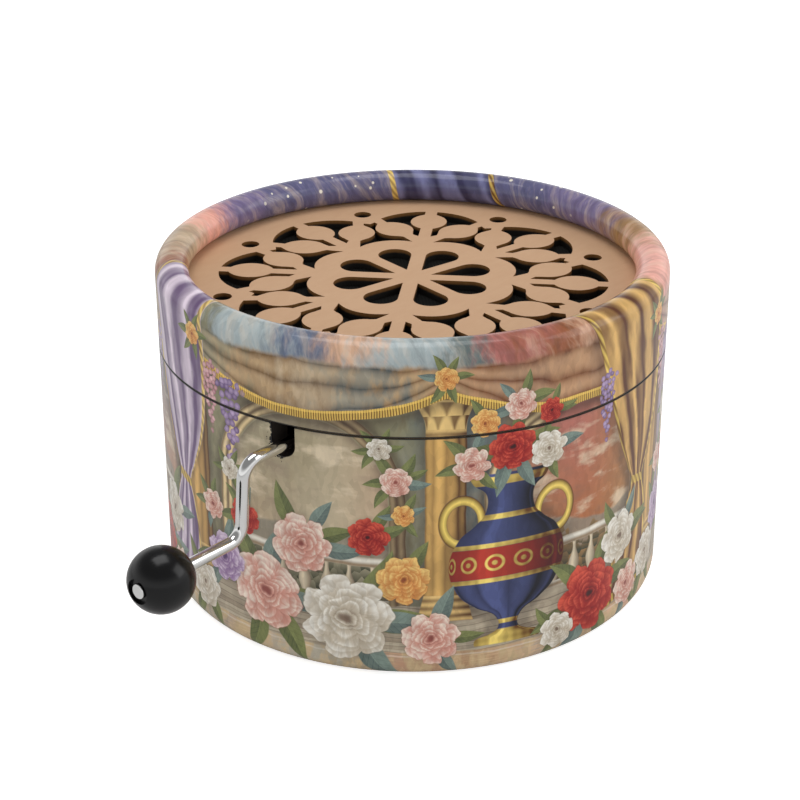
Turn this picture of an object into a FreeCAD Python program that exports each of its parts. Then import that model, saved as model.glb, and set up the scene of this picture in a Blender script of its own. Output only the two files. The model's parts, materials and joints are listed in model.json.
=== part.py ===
"""Hand-cranked comb music box in a round printed paper box.

All sizes are in millimetres. The origin is the centre of the foot ring, on the surface that the box
stands on, with +Z up. The crank shaft leaves the box along -Y, beside the middle, at +X.
"""
import FreeCAD, Part
import math
import os
from FreeCAD import Vector

os.makedirs("parts", exist_ok=True)

# ---------------------------------------------------------------- paper box
box_diameter = 75.0          # over the printed paper
lid_height = 13.0            # lid edge to rim crest
tube_wall = 1.35             # wound paper tube
print_thickness = 0.15       # printed paper skin
curl_radius = 2.3            # outside of the rolled edge of the tube
rolled_turn = 270.0          # how far round each edge of the tube is rolled in
foot_press = 0.15            # how far the lower curl is pressed flat
seam_gap = 0.15              # hairline between the lid and the base
neck_wall = 1.25             # inner collar that the lid slides over
neck_clearance = 0.25        # collar to lid, radial
floor_thickness = 2.0
glue_gap = 0.1               # discs and rings glued into the tubes, radial
foot_wrap_angle = 50.0       # the base's print ends here on the lower curl
rim_wrap_angle = 255.0       # the lid's print ends here, under the rim's inside

# ---------------------------------------------------------------- grille and its liner
grille_thickness = 1.5
liner_thickness = 0.3
retainer_height = 1.3
retainer_width = 2.0
rosette_count = 8
rosette_turn = 34.3          # direction of the first leaf bud
bar_width = 2.2              # spokes between the petals
petal_centre = 9.4           # hub to the middle of a petal's round end
ring_width = 3.85            # lobed ring outside the petals
lobe_half_angle = 16.3       # half of one lobe of the ring
leaf_arc = 3.65              # radius of a leaf's two edges
leaf_neck = 0.35             # slit between the side leaves of two clusters
side_leaf_gap = 4.95         # lobed ring to the middle of a side leaf
side_leaf_angle = 8.5        # off the direction of the opening between clusters
side_leaf_lean = 39.8        # a side leaf's axis, off the bud's direction
bud_gap = 3.4                # middle of a bud beyond the middles of the side leaves
bud_neck = 0.56              # opening between a bud and its side leaf, where it is narrowest
stem_half_width = 0.95
stem_slit_gap = 1.55         # lobed ring to the inner end of the slit beside a stem
stem_slit_width = 0.93
stem_slit_slant = 0.72
leaf_slit_angle = -96.0      # where the slit's far side leaves the side leaf's edge
leaf_corner_angle = 15.0     # where the side leaf meets the opening round the bud
fin_arc = 9.3                # outer edge of the openings round a bud
fin_tip_gap = 1.43           # that edge beyond the bud's end
fin_end_angle = 55.9         # where the outer edge meets the side leaf's opening
wing_foot_length = 2.65      # cluster's foot between the lobed ring and a side leaf
wing_foot_angle = 15.0       # off the direction of the opening between clusters
wing_start_angle = 186.0     # start of the side leaf's edge in that opening
wing_end_angle = 82.4
tail_gap = 3.0               # middle of the side leaves to the fishtail's notch
tail_depth = 0.6
tail_corner_half = 0.87
tail_side_slant = 0.75
tail_side_half = 1.15
edge_hole_radius = 1.35
edge_hole_gap = 2.7          # fishtail to the round hole beyond it

# ---------------------------------------------------------------- crank and knob
wire_diameter = 1.8
crank_offset = 8.5           # shaft beside the box's middle
crank_drop = 3.05            # shaft below the lid's edge
crank_reach = 6.45           # box side to the first bend's corner
crank_throw = 11.5
crank_lean = 4.9             # arm off straight down, in degrees
crank_bend = 2.4             # middle of the wire
pin_length = 18.64           # second bend's corner to the end of the pin
slot_width = 3.5
running_clearance = 0.05     # shafts in their holes, radial
press_clearance = 0.02       # pressed and tapped fits, radial
knob_diameter = 9.0
knob_recess_diameter = 3.5
knob_recess_depth = 0.8      # below the knob's far end
pin_head_height = 0.3
pin_head_radius = 1.05
pin_head_round = 0.18        # rounding of the peened end's rim
pin_head_sink = 0.37         # pin end below the knob's far end

# ---------------------------------------------------------------- movement
spacer_height = 5.5          # ring that carries the movement board
spacer_wall = 2.0
board_thickness = 3.0
bed_thickness = 2.0
bed_clearance = 0.9          # drum pins above the bed
bed_margin_left = 1.5
bed_margin_right = 1.3
bed_margin_front = 0.8
bed_margin_rear = 0.8
bed_corner = 2.5
drum_y = -7.0                # drum axis behind or before the box's middle
drum_diameter = 12.6
drum_wall = 0.6
drum_cap = 1.2
pin_height = 0.8
pin_diameter = 0.4
pin_sink = 0.3
pins_per_track = 8
pin_track_turn = 137.5       # from one track's first pin to the next track's, in degrees
pin_wander = 0.35            # how far pins leave their even places, as a share of the step
tine_count = 18
tine_pitch = 1.0
tine_slit = 0.25
tine_thickness = 0.6
drum_margin = 0.7            # drum beyond the outer tines, each end
tip_gap = 0.15               # tine tips to pins, standing clear between notes
bass_tine_length = 15.5
treble_tine_length = 9.5
comb_thickness = 1.4
comb_depth = 22.0            # tine tips to the comb's rear edge
comb_side = 0.5              # comb inside the drum's ends
table_setback = 0.3
wheel_teeth = 15
wheel_pitch_radius = 6.0
worm_pitch_radius = 3.0
wheel_width = 3.0
wheel_gap = 1.4              # drum end to the wheel
tooth_thickness = 1.0
thread_thickness = 0.95
tooth_addendum = 0.6
tooth_dedendum = 0.8
flank_angle = 20.0
thread_turns = 4.0
thread_root_sink = 0.2       # the thread's foot inside the worm's core
hub_radius = 3.2
worm_end_play = 0.1
arbor_radius = 1.0
arbor_end = 0.3              # arbor beyond its clips
clip_gap = 0.15              # clips to the bushes, the drum's end play
post_thickness = 2.0
post_half_width = 3.5
post_gap = 1.2
bush_wall = 1.0
bush_flange = 0.5
bush_flange_width = 0.7
clip_width = 1.0
clip_thickness = 0.5
ear_clearance = 0.4          # bracket's ears to the drum's pins
ear_width = 5.8
sheet_thickness = 1.0
sheet_bend = 0.6             # inside of a fold
bracket_headroom = 0.6       # worm to the bracket's top
foot_tab = 6.0
washer_thickness = 0.4
screw_radius = 1.0
screw_head_radius = 1.9
screw_head_height = 1.2
screw_slot = 0.5
screw_hole_clearance = 0.2
comb_screw_spacing = 11.0
comb_screw_inset = 3.5
comb_screw_length = 5.5
bracket_screw_length = 2.8
board_screw_bite = 1.6
board_screw_margin = 1.0     # those screws' heads to the edges of what they hold
blind_hole_extra = 0.4       # tapped holes beyond their screws
weight_count = 9
weight_length = 2.4
weight_height = 1.3
weight_taper = 0.06          # each weight is smaller than the first by one more such share
weight_setback = 1.0
damper_radius = 0.12
damper_length = 2.2
damper_setback = 0.5

# ---------------------------------------------------------------- what follows from those sizes
box_radius = box_diameter / 2
tube_radius = box_radius - print_thickness
tube_inner = tube_radius - tube_wall
curl_ring = tube_radius - curl_radius
foot_curl_z = curl_radius - foot_press
floor_bottom = foot_curl_z + curl_radius
floor_top = floor_bottom + floor_thickness
board_bottom = floor_top + spacer_height
board_top = board_bottom + board_thickness
bed_top = board_top + bed_thickness
drum_radius = drum_diameter / 2
pins_radius = drum_radius + pin_height
drum_z = bed_top + bed_clearance + pins_radius
crank_z = drum_z + wheel_pitch_radius + worm_pitch_radius
seam_z = crank_z + crank_drop
base_top = seam_z - seam_gap
box_height = seam_z + lid_height
rim_curl_z = box_height - print_thickness - curl_radius
grille_top = rim_curl_z - curl_radius - print_thickness
grille_bottom = grille_top - grille_thickness
liner_bottom = grille_bottom - liner_thickness
neck_top = liner_bottom - retainer_height
neck_outer = tube_inner - neck_clearance
neck_inner = neck_outer - neck_wall
glued_radius = tube_inner - glue_gap
board_radius = neck_inner - glue_gap
wire_radius = wire_diameter / 2
knob_radius = knob_diameter / 2
crank_bend_y = -box_radius - crank_reach
crank_x = crank_offset
petal_bulb = petal_centre * math.sin(math.pi / rosette_count) - bar_width / 2
lobe_radius = petal_bulb + ring_width
ring_reach = petal_centre + lobe_radius
side_leaf_centre = ring_reach + side_leaf_gap
bud_centre = side_leaf_centre + bud_gap
stem_slit_start = ring_reach + stem_slit_gap
tail_notch = side_leaf_centre + tail_gap
tail_corner = tail_notch + tail_depth
tail_side = tail_corner - tail_side_slant
edge_hole_centre = tail_corner + edge_hole_gap + edge_hole_radius
pin_x = crank_x - crank_throw * math.sin(math.radians(crank_lean))
pin_z = crank_z - crank_throw * math.cos(math.radians(crank_lean))
pin_end_y = crank_bend_y - pin_length
knob_y = pin_end_y - pin_head_sink + knob_radius
drum_length = tine_count * tine_pitch + 2 * drum_margin
drum_right = crank_x - wheel_width / 2 - wheel_gap
drum_left = drum_right - drum_length
right_post = crank_x + wheel_width / 2 + post_gap
left_post = drum_left - post_gap - post_thickness
ear_inside = pins_radius + ear_clearance
worm_outer = worm_pitch_radius + tooth_addendum
worm_root = worm_pitch_radius - tooth_dedendum
axial_pitch = 2 * math.pi * wheel_pitch_radius / wheel_teeth
bracket_top = crank_z + worm_outer + bracket_headroom + sheet_thickness
tip_y = drum_y + pins_radius + tip_gap
comb_rear = tip_y + comb_depth
comb_top = drum_z + comb_thickness / 2
comb_left = drum_left + comb_side
comb_right = drum_right - comb_side
table_top = comb_top - comb_thickness
bed_left = left_post - bed_margin_left
bed_right = right_post + post_thickness + bed_margin_right
bed_front = drum_y - ear_inside - sheet_thickness - foot_tab - bed_margin_front
bed_rear = comb_rear + bed_margin_rear
bush_radius = wire_radius + running_clearance + bush_wall
arbor_bush_radius = arbor_radius + running_clearance + bush_wall
X_AXIS = Vector(1, 0, 0)
Y_AXIS = Vector(0, 1, 0)
Z_AXIS = Vector(0, 0, 1)
ORIGIN = Vector(0, 0, 0)


def save(shape, node):
    """Write one node's solids."""
    shape.exportStep("parts/" + node + ".step")
    print(node, len(shape.Solids), round(shape.Volume, 2))


def box(low, high):
    """A block between two corners."""
    return Part.makeBox(high[0] - low[0], high[1] - low[1], high[2] - low[2], Vector(*low))


def rod(radius, start, end):
    """A round bar between two points."""
    direction = Vector(*end) - Vector(*start)
    return Part.makeCylinder(radius, direction.Length, Vector(*start), direction)


def drum_line(x):
    """The drum axis's point at x."""
    return (x, drum_y, drum_z)


def shaft_line(y):
    """The crank shaft's point at y."""
    return (crank_x, y, crank_z)


def tube(outer, inner, start, end):
    """A round tube between two points."""
    return rod(outer, start, end).cut(rod(inner, start, end))


def ring(outer, inner, low, high):
    """A flat ring round the box's axis."""
    return tube(outer, inner, (0, 0, low), (0, 0, high))


def turned(edges):
    """Turn a closed outline in the XZ plane round the box's axis."""
    face = Part.Face(Part.Wire(edges))
    return face.revolve(ORIGIN, Z_AXIS, 360)


def line(a, b):
    return Part.LineSegment(a, b).toShape()


def arc(a, middle, b):
    return Part.Arc(a, middle, b).toShape()


def polar(centre, radius, angle):
    """A point at an angle, in degrees, round a centre in the XY plane."""
    turn = math.radians(angle)
    return centre + Vector(radius * math.cos(turn), radius * math.sin(turn), 0)


def rim_point(ring_z, up, radius, angle):
    """A point on a rolled edge's section. The angle runs from the wall, over the outside."""
    turn = math.radians(angle)
    return Vector(curl_ring + radius * math.cos(turn), 0, ring_z + up * radius * math.sin(turn))


def rolled_tube(ring_z, up, edge_z):
    """A paper tube whose end is rolled inwards, upwards (up = 1) or downwards (up = -1)."""
    inside = curl_radius - tube_wall
    turns = (0, rolled_turn / 2, rolled_turn)
    outer = [rim_point(ring_z, up, curl_radius, turn) for turn in turns]
    inner = [rim_point(ring_z, up, inside, turn) for turn in reversed(turns)]
    wall_outer = Vector(tube_radius, 0, edge_z)
    wall_inner = Vector(tube_inner, 0, edge_z)
    return turned([
        line(wall_outer, outer[0]),
        arc(*outer),
        line(outer[2], inner[0]),
        arc(*inner),
        line(inner[2], wall_inner),
        line(wall_inner, wall_outer),
    ])


def printed_skin(ring_z, up, edge_z, end_angle):
    """The printed paper on a rolled tube, from its edge to an angle on the curl."""
    outside = curl_radius + print_thickness
    turns = (0, end_angle / 2, end_angle)
    outer = [rim_point(ring_z, up, outside, turn) for turn in turns]
    inner = [rim_point(ring_z, up, curl_radius, turn) for turn in reversed(turns)]
    edge_outer = Vector(box_radius, 0, edge_z)
    edge_inner = Vector(tube_radius, 0, edge_z)
    return turned([
        line(edge_outer, outer[0]),
        arc(*outer),
        line(outer[2], inner[0]),
        arc(*inner),
        line(inner[2], edge_inner),
        line(edge_inner, edge_outer),
    ])


def crank_slot():
    """The U-shaped slot through the base's wall, open at the wall's upper edge."""
    half = slot_width / 2
    outside_y = -box_radius - 1
    round_end = rod(half, (crank_x, outside_y, crank_z), (crank_x, 0, crank_z))
    upright = box((crank_x - half, outside_y, crank_z), (crank_x + half, 0, box_height))
    return round_end.fuse(upright)


def base_tube():
    """Outer paper tube of the base, its lower edge rolled in and pressed flat as a foot."""
    shape = rolled_tube(foot_curl_z, -1, base_top)
    below = box((-box_radius, -box_radius, -curl_radius), (box_radius, box_radius, 0))
    return shape.cut(below).cut(crank_slot())


def base_wrap():
    return printed_skin(foot_curl_z, -1, base_top, foot_wrap_angle).cut(crank_slot())


def base_floor():
    """Board disc glued in above the foot's curl."""
    return rod(glued_radius, (0, 0, floor_bottom), (0, 0, floor_top))


def neck_sleeve():
    """Inner collar: glued in the base, and standing up inside the lid."""
    low = ring(tube_inner, neck_inner, floor_top, base_top)
    high = ring(neck_outer, neck_inner, base_top, neck_top)
    return low.fuse(high).removeSplitter().cut(crank_slot())


def lid_tube():
    return rolled_tube(rim_curl_z, 1, seam_z)


def lid_wrap():
    return printed_skin(rim_curl_z, 1, seam_z, rim_wrap_angle)


# ---------------------------------------------------------------- rosette grille
def mirrored(point):
    return Vector(point.x, -point.y, point.z)


def prism(edges, low, height):
    """A closed flat outline, raised from one height."""
    face = Part.Face(Part.Wire(edges))
    face.translate(Vector(0, 0, low))
    return face.extrude(Vector(0, 0, height))


def petal_cut(low, height):
    """Teardrop opening about the X axis. Its round end touches both spokes."""
    half_step = 180.0 / rosette_count
    centre = Vector(petal_centre, 0, 0)
    tip = Vector(bar_width / 2 / math.sin(math.radians(half_step)), 0, 0)
    touch = polar(centre, petal_bulb, 90 + half_step)
    return prism([
        line(tip, mirrored(touch)),
        arc(mirrored(touch), centre + Vector(petal_bulb, 0, 0), touch),
        line(touch, tip),
    ], low, height)


def side_leaf_arc_centre(axis, side):
    """Centre of one edge of a side leaf, with its bud's direction at an angle off the X axis."""
    off_axis = side_leaf_centre * math.sin(math.radians(side_leaf_angle))
    lean = math.radians(side_leaf_lean - 180.0 / rosette_count)
    offset = (leaf_arc + leaf_neck / 2 - off_axis) / math.cos(lean)
    middle = polar(ORIGIN, side_leaf_centre, axis + 180.0 / rosette_count - side_leaf_angle)
    return polar(middle, offset, axis + side_leaf_lean + side * 90)


def fin_cut(low, height):
    """Opening beside a bud, with the slit along its stem. The bud lies along the X axis."""
    leaf_centre = side_leaf_arc_centre(0, 1)
    apart = 2 * leaf_arc + bud_neck
    bud_drop = math.sqrt(apart ** 2 - (bud_centre - leaf_centre.x) ** 2) - leaf_centre.y
    bud_arc_centre = Vector(bud_centre, -bud_drop, 0)
    reach = math.sqrt(leaf_arc ** 2 - (stem_half_width - bud_arc_centre.y) ** 2)
    stem_end = Vector(bud_centre - reach, stem_half_width, 0)
    bud_end = Vector(bud_centre + reach, stem_half_width, 0)
    bud_side = bud_arc_centre + Vector(0, leaf_arc, 0)
    lobe_start = bud_end + Vector(fin_tip_gap, 0, 0)
    lobe_centre = Vector(lobe_start.x - math.sqrt(fin_arc ** 2 - stem_half_width ** 2), 0, 0)
    lobe_middle = polar(lobe_centre, fin_arc, fin_end_angle / 2)
    lobe_end = polar(lobe_centre, fin_arc, fin_end_angle)
    leaf_far = polar(leaf_centre, leaf_arc, leaf_corner_angle)
    leaf_side = polar(leaf_centre, leaf_arc, (leaf_corner_angle + leaf_slit_angle) / 2)
    leaf_near = polar(leaf_centre, leaf_arc, leaf_slit_angle)
    slit_start = Vector(stem_slit_start, stem_half_width, 0)
    slit_corner = slit_start + Vector(stem_slit_slant, stem_slit_width, 0)
    return prism([
        line(slit_start, stem_end),
        arc(stem_end, bud_side, bud_end),
        line(bud_end, lobe_start),
        arc(lobe_start, lobe_middle, lobe_end),
        line(lobe_end, leaf_far),
        arc(leaf_far, leaf_side, leaf_near),
        line(leaf_near, slit_corner),
        line(slit_corner, slit_start),
    ], low, height)


def wing_cut(low, height):
    """Opening between two clusters, about the X axis, with its fishtail slit."""
    half_step = 180.0 / rosette_count
    centre = side_leaf_arc_centre(-half_step, -1)
    turn = math.radians(lobe_half_angle)
    sideways = petal_centre * math.sin(turn)
    root_radius = petal_centre * math.cos(turn) + math.sqrt(lobe_radius ** 2 - sideways ** 2)
    root = polar(ORIGIN, root_radius, -lobe_half_angle)
    foot = polar(root, wing_foot_length, wing_foot_angle)
    leaf_start = polar(centre, leaf_arc, wing_start_angle - half_step)
    leaf_middle = polar(centre, leaf_arc, (wing_start_angle + wing_end_angle) / 2 - half_step)
    leaf_end = polar(centre, leaf_arc, wing_end_angle - half_step)
    side = Vector(tail_side, -tail_side_half, 0)
    corner = Vector(tail_corner, -tail_corner_half, 0)
    notch = Vector(tail_notch, 0, 0)
    return prism([
        line(root, foot),
        line(foot, leaf_start),
        arc(leaf_start, leaf_middle, leaf_end),
        line(leaf_end, side),
        line(side, corner),
        line(corner, notch),
        line(notch, mirrored(corner)),
        line(mirrored(corner), mirrored(side)),
        line(mirrored(side), mirrored(leaf_end)),
        arc(mirrored(leaf_end), mirrored(leaf_middle), mirrored(leaf_start)),
        line(mirrored(leaf_start), mirrored(foot)),
        line(mirrored(foot), mirrored(root)),
        arc(mirrored(root), Vector(ring_reach, 0, 0), root),
    ], low, height)


def rosette_grille():
    """Laser-cut board disc with petals, a lobed ring, leaf clusters and edge holes."""
    low = grille_bottom - 1
    height = grille_thickness + 2
    step = 360.0 / rosette_count
    fin = fin_cut(low, height)
    other_fin = fin.mirror(ORIGIN, Y_AXIS)
    petal = petal_cut(low, height)
    wing = wing_cut(low, height)
    edge_hole = rod(edge_hole_radius, (edge_hole_centre, 0, low), (edge_hole_centre, 0, low + height))
    cuts = []
    for index in range(rosette_count):
        bud_turn = rosette_turn + index * step
        for cut in (fin, other_fin):
            cuts.append(cut.rotated(ORIGIN, Z_AXIS, bud_turn))
        for cut in (petal, wing, edge_hole):
            cuts.append(cut.rotated(ORIGIN, Z_AXIS, bud_turn + step / 2))
    disc = rod(glued_radius, (0, 0, grille_bottom), (0, 0, grille_top))
    return disc.cut(Part.makeCompound(cuts))


def grille_liner():
    return rod(glued_radius, (0, 0, liner_bottom), (0, 0, grille_bottom))


def retainer_ring():
    return ring(glued_radius, glued_radius - retainer_width, neck_top, liner_bottom)


# ---------------------------------------------------------------- board and bedplate
def board_screw_places():
    """One screw before the drum and two under the comb's table."""
    inset = screw_head_radius + board_screw_margin
    front = (bed_left + 2 * inset, bed_front + inset)
    rear_left = (comb_left + inset, comb_rear - inset)
    rear_right = (comb_right - inset, comb_rear - inset)
    return [front, rear_left, rear_right]


def comb_screw_places():
    middle = (comb_left + comb_right) / 2
    y = comb_rear - comb_screw_inset
    return [(middle - comb_screw_spacing / 2, y), (middle + comb_screw_spacing / 2, y)]


def bracket_screw_places():
    offset = ear_inside + sheet_thickness + foot_tab / 2
    return [(crank_x, drum_y - offset), (crank_x, drum_y + offset)]


def spacer_ring():
    return ring(board_radius, board_radius - spacer_wall, floor_top, board_bottom)


def movement_board():
    """Wooden board that sounds with the comb."""
    shape = rod(board_radius, (0, 0, board_bottom), (0, 0, board_top))
    for x, y in board_screw_places():
        radius = screw_radius + screw_hole_clearance
        shape = shape.cut(rod(radius, (x, y, board_bottom - 1), (x, y, board_top + 1)))
    return shape


def comb_root(x):
    """The comb's front edge, where a tine starts: long bass tines left, short treble tines right."""
    share = (x - comb_left) / (comb_right - comb_left)
    return tip_y + bass_tine_length + share * (treble_tine_length - bass_tine_length)


def comb_plan(setback, low, height):
    """The comb's body, or the table under it, seen from above."""
    corners = [
        Vector(comb_left, comb_root(comb_left) + setback, 0),
        Vector(comb_right, comb_root(comb_right) + setback, 0),
        Vector(comb_right, comb_rear, 0),
        Vector(comb_left, comb_rear, 0),
    ]
    edges = [line(a, b) for a, b in zip(corners, corners[1:] + corners[:1])]
    return prism(edges, low, height)


def post(x):
    """Upright of the bedplate that holds one end of the drum's arbor."""
    far = x + post_thickness
    upright = box((x, drum_y - post_half_width, board_top), (far, drum_y + post_half_width, drum_z))
    crown = rod(post_half_width, drum_line(x), drum_line(far))
    return upright.fuse(crown)


def bedplate():
    """Cast bed with two posts, the comb's table and tapped holes."""
    plate = box((bed_left, bed_front, board_top), (bed_right, bed_rear, bed_top))
    corners = [edge for edge in plate.Edges if abs(edge.BoundBox.ZLength - bed_thickness) < 1e-6]
    shape = plate.makeFillet(bed_corner, corners)
    shape = shape.fuse(comb_plan(table_setback, board_top, table_top - board_top))
    for x in (left_post, right_post):
        shape = shape.fuse(post(x))
    shape = shape.removeSplitter()
    bore = rod(arbor_bush_radius + press_clearance, drum_line(bed_left - 1), drum_line(bed_right + 1))
    shape = shape.cut(bore)
    tap = screw_radius + press_clearance
    for x, y in comb_screw_places():
        depth = comb_screw_length - comb_thickness + blind_hole_extra
        shape = shape.cut(rod(tap, (x, y, table_top + 1), (x, y, table_top - depth)))
    for x, y in bracket_screw_places():
        shape = shape.cut(rod(tap, (x, y, board_top - 1), (x, y, bed_top + 1)))
    for x, y in board_screw_places():
        hole_end = board_top + board_screw_bite + blind_hole_extra
        shape = shape.cut(rod(tap, (x, y, board_top - 1), (x, y, hole_end)))
    return shape


def screw(x, y, under_head, length, up):
    """Slotted cheese-head screw, its head above (up = 1) or below (up = -1)."""
    head = rod(screw_head_radius, (x, y, under_head), (x, y, under_head + up * screw_head_height))
    shank = rod(screw_radius, (x, y, under_head), (x, y, under_head - up * length))
    head_end = under_head + up * screw_head_height
    slot_floor = head_end - up * screw_slot
    low, high = sorted((slot_floor, head_end + up))
    half = screw_slot / 2
    slot = box((x - half, y - screw_head_radius - 1, low), (x + half, y + screw_head_radius + 1, high))
    return head.fuse(shank).removeSplitter().cut(slot)


def comb():
    """Steel comb: one plate with its tines."""
    shape = comb_plan(0, table_top, comb_thickness)
    tines = []
    width = tine_pitch - tine_slit
    for index in range(tine_count):
        x = tine_x(index)
        low = (x - width / 2, tip_y, comb_top - tine_thickness)
        tines.append(box(low, (x + width / 2, comb_root(x) + 1, comb_top)))
    shape = shape.fuse(tines).removeSplitter()
    for x, y in comb_screw_places():
        radius = screw_radius + screw_hole_clearance
        shape = shape.cut(rod(radius, (x, y, table_top - 1), (x, y, comb_top + 1)))
    return shape


def tine_x(index):
    return drum_left + drum_margin + (index + 0.5) * tine_pitch


def comb_weights():
    """Tuning weights under the tips of the bass tines."""
    half = (tine_pitch - tine_slit) / 2
    top = comb_top - tine_thickness
    shapes = []
    for index in range(weight_count):
        x = tine_x(index)
        shrink = 1 - weight_taper * index
        low = (x - half, tip_y + weight_setback, top - weight_height * shrink)
        shapes.append(box(low, (x + half, tip_y + weight_setback + weight_length * shrink, top)))
    return Part.makeCompound(shapes)


def comb_dampers():
    """Short damping wires under the tips of the treble tines."""
    top = comb_top - tine_thickness
    shapes = []
    for index in range(weight_count, tine_count):
        x = tine_x(index)
        y = tip_y + damper_setback
        z = top - damper_radius
        shapes.append(rod(damper_radius, (x, y, z), (x, y + damper_length, z)))
    return Part.makeCompound(shapes)


def comb_screws():
    screws = [screw(x, y, comb_top, comb_screw_length, 1) for x, y in comb_screw_places()]
    return Part.makeCompound(screws)


def bracket_screws():
    top = bed_top + sheet_thickness
    screws = [screw(x, y, top, bracket_screw_length, 1) for x, y in bracket_screw_places()]
    return Part.makeCompound(screws)


def board_screws():
    length = board_thickness + board_screw_bite
    screws = [screw(x, y, board_bottom, length, -1) for x, y in board_screw_places()]
    return Part.makeCompound(screws)


# ---------------------------------------------------------------- drum and its drive
def drum_shell():
    return tube(drum_radius, drum_radius - drum_wall, drum_line(drum_left), drum_line(drum_right))


def drum_caps():
    outer = drum_radius - drum_wall - press_clearance
    inner = arbor_radius + press_clearance
    starts = (drum_left, drum_right - drum_cap)
    caps = [tube(outer, inner, drum_line(x), drum_line(x + drum_cap)) for x in starts]
    return Part.makeCompound(caps)


def drum_pins():
    """Note pins, one track for each tine, spread round the drum by a formula."""
    step = 360.0 / pins_per_track
    shapes = []
    for track in range(tine_count):
        x = tine_x(track)
        for number in range(pins_per_track):
            shift = step * pin_wander * math.sin(2 * number + track)
            turn = math.radians(track * pin_track_turn + number * step + shift)
            away = Vector(0, math.cos(turn), math.sin(turn))
            start = Vector(x, drum_y, drum_z) + away * (drum_radius - pin_sink)
            shapes.append(Part.makeCylinder(pin_diameter / 2, pin_sink + pin_height, start, away))
    return Part.makeCompound(shapes)


def drum_arbor():
    beyond = bush_flange + clip_gap + clip_thickness + arbor_end
    right = right_post + post_thickness + beyond
    return rod(arbor_radius, drum_line(left_post - beyond), drum_line(right))


def arbor_clips():
    """Rings on the arbor's ends, outside the posts' bushes."""
    left = left_post - bush_flange - clip_gap
    right = right_post + post_thickness + bush_flange + clip_gap
    outer = arbor_radius + clip_width
    inner = arbor_radius + press_clearance
    ends = ((left, left - clip_thickness), (right, right + clip_thickness))
    return Part.makeCompound([tube(outer, inner, drum_line(a), drum_line(b)) for a, b in ends])


def flanged_bush(bore, outer, flange_start, direction, seat_length):
    """A bush with its flange against a wall's outer face. The direction points out of the wall."""
    seat = Part.makeCylinder(outer, seat_length, flange_start - direction * seat_length, direction)
    flange = Part.makeCylinder(outer + bush_flange_width, bush_flange, flange_start, direction)
    length = seat_length + bush_flange
    hole = Part.makeCylinder(bore, length + 2, flange_start - direction * (seat_length + 1), direction)
    return seat.fuse(flange).removeSplitter().cut(hole)


def arbor_bushes():
    bore = arbor_radius + running_clearance
    left = Vector(*drum_line(left_post))
    right = Vector(*drum_line(right_post + post_thickness))
    return Part.makeCompound([
        flanged_bush(bore, arbor_bush_radius, left, X_AXIS * -1, post_thickness),
        flanged_bush(bore, arbor_bush_radius, right, X_AXIS, post_thickness),
    ])


def crank_bushes():
    bore = wire_radius + running_clearance
    outside = ear_inside + sheet_thickness
    bushes = []
    for side in (-1, 1):
        face = Vector(*shaft_line(drum_y + side * outside))
        bushes.append(flanged_bush(bore, bush_radius, face, Y_AXIS * side, sheet_thickness))
    return Part.makeCompound(bushes)


def lead_angle():
    return math.atan(axial_pitch / (2 * math.pi * worm_pitch_radius))


def wheel_outline(x, turn):
    """The toothed wheel's outline at one place along its axis, turned about that axis."""
    step = 360.0 / wheel_teeth
    slope = math.tan(math.radians(flank_angle))
    root = wheel_pitch_radius - tooth_dedendum
    tip = wheel_pitch_radius + tooth_addendum
    root_half = math.degrees((tooth_thickness / 2 + tooth_dedendum * slope) / root)
    tip_half = math.degrees((tooth_thickness / 2 - tooth_addendum * slope) / tip)
    points = []
    for tooth in range(wheel_teeth):
        middle = (tooth + 0.5) * step + turn
        for radius, offset in ((root, -root_half), (tip, -tip_half), (tip, tip_half), (root, root_half)):
            angle = math.radians(middle + offset)
            points.append(Vector(x, drum_y - radius * math.sin(angle), drum_z + radius * math.cos(angle)))
    return Part.makePolygon(points + points[:1])


def drive_wheel():
    """Toothed wheel with slanting teeth, and its hub against the drum."""
    half = wheel_width / 2
    twist = math.degrees(half * math.tan(lead_angle()) / wheel_pitch_radius)
    outlines = [wheel_outline(crank_x - half, -twist), wheel_outline(crank_x + half, twist)]
    wheel = Part.makeLoft(outlines, True, True)
    hub = rod(hub_radius, drum_line(drum_right), drum_line(crank_x))
    bore = rod(arbor_radius + press_clearance, drum_line(drum_right - 1), drum_line(right_post))
    return wheel.fuse(hub).cut(bore)


def worm_thread():
    """One right-hand thread, round the Y axis, that passes the wheel's middle at its lowest point."""
    slope = math.tan(math.radians(flank_angle))
    base_radius = worm_root - thread_root_sink
    base_half = thread_thickness / 2 + (tooth_dedendum + thread_root_sink) * slope
    crest_half = thread_thickness / 2 - tooth_addendum * slope
    length = thread_turns * axial_pitch
    helix = Part.makeHelix(axial_pitch, length, worm_pitch_radius)
    corners = [
        Vector(base_radius, 0, -base_half),
        Vector(worm_outer, 0, -crest_half),
        Vector(worm_outer, 0, crest_half),
        Vector(base_radius, 0, base_half),
    ]
    profile = Part.makePolygon(corners + corners[:1])
    thread = Part.Wire(helix.Edges).makePipeShell([profile], True, True)
    thread.rotate(ORIGIN, X_AXIS, -90)
    turn_at_bottom = 90 + 360 * (thread_turns / 2 % 1)
    thread.rotate(ORIGIN, Y_AXIS, turn_at_bottom)
    thread.translate(Vector(crank_x, drum_y - length / 2, crank_z))
    return thread


def worm():
    """Worm pressed on the crank's shaft, with plain ends that run against the washers."""
    half = ear_inside - washer_thickness - worm_end_play
    core = rod(worm_root, shaft_line(drum_y - half), shaft_line(drum_y + half))
    reach = half + 1
    bore = rod(wire_radius + press_clearance, shaft_line(drum_y - reach), shaft_line(drum_y + reach))
    return core.fuse(worm_thread()).cut(bore)


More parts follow.
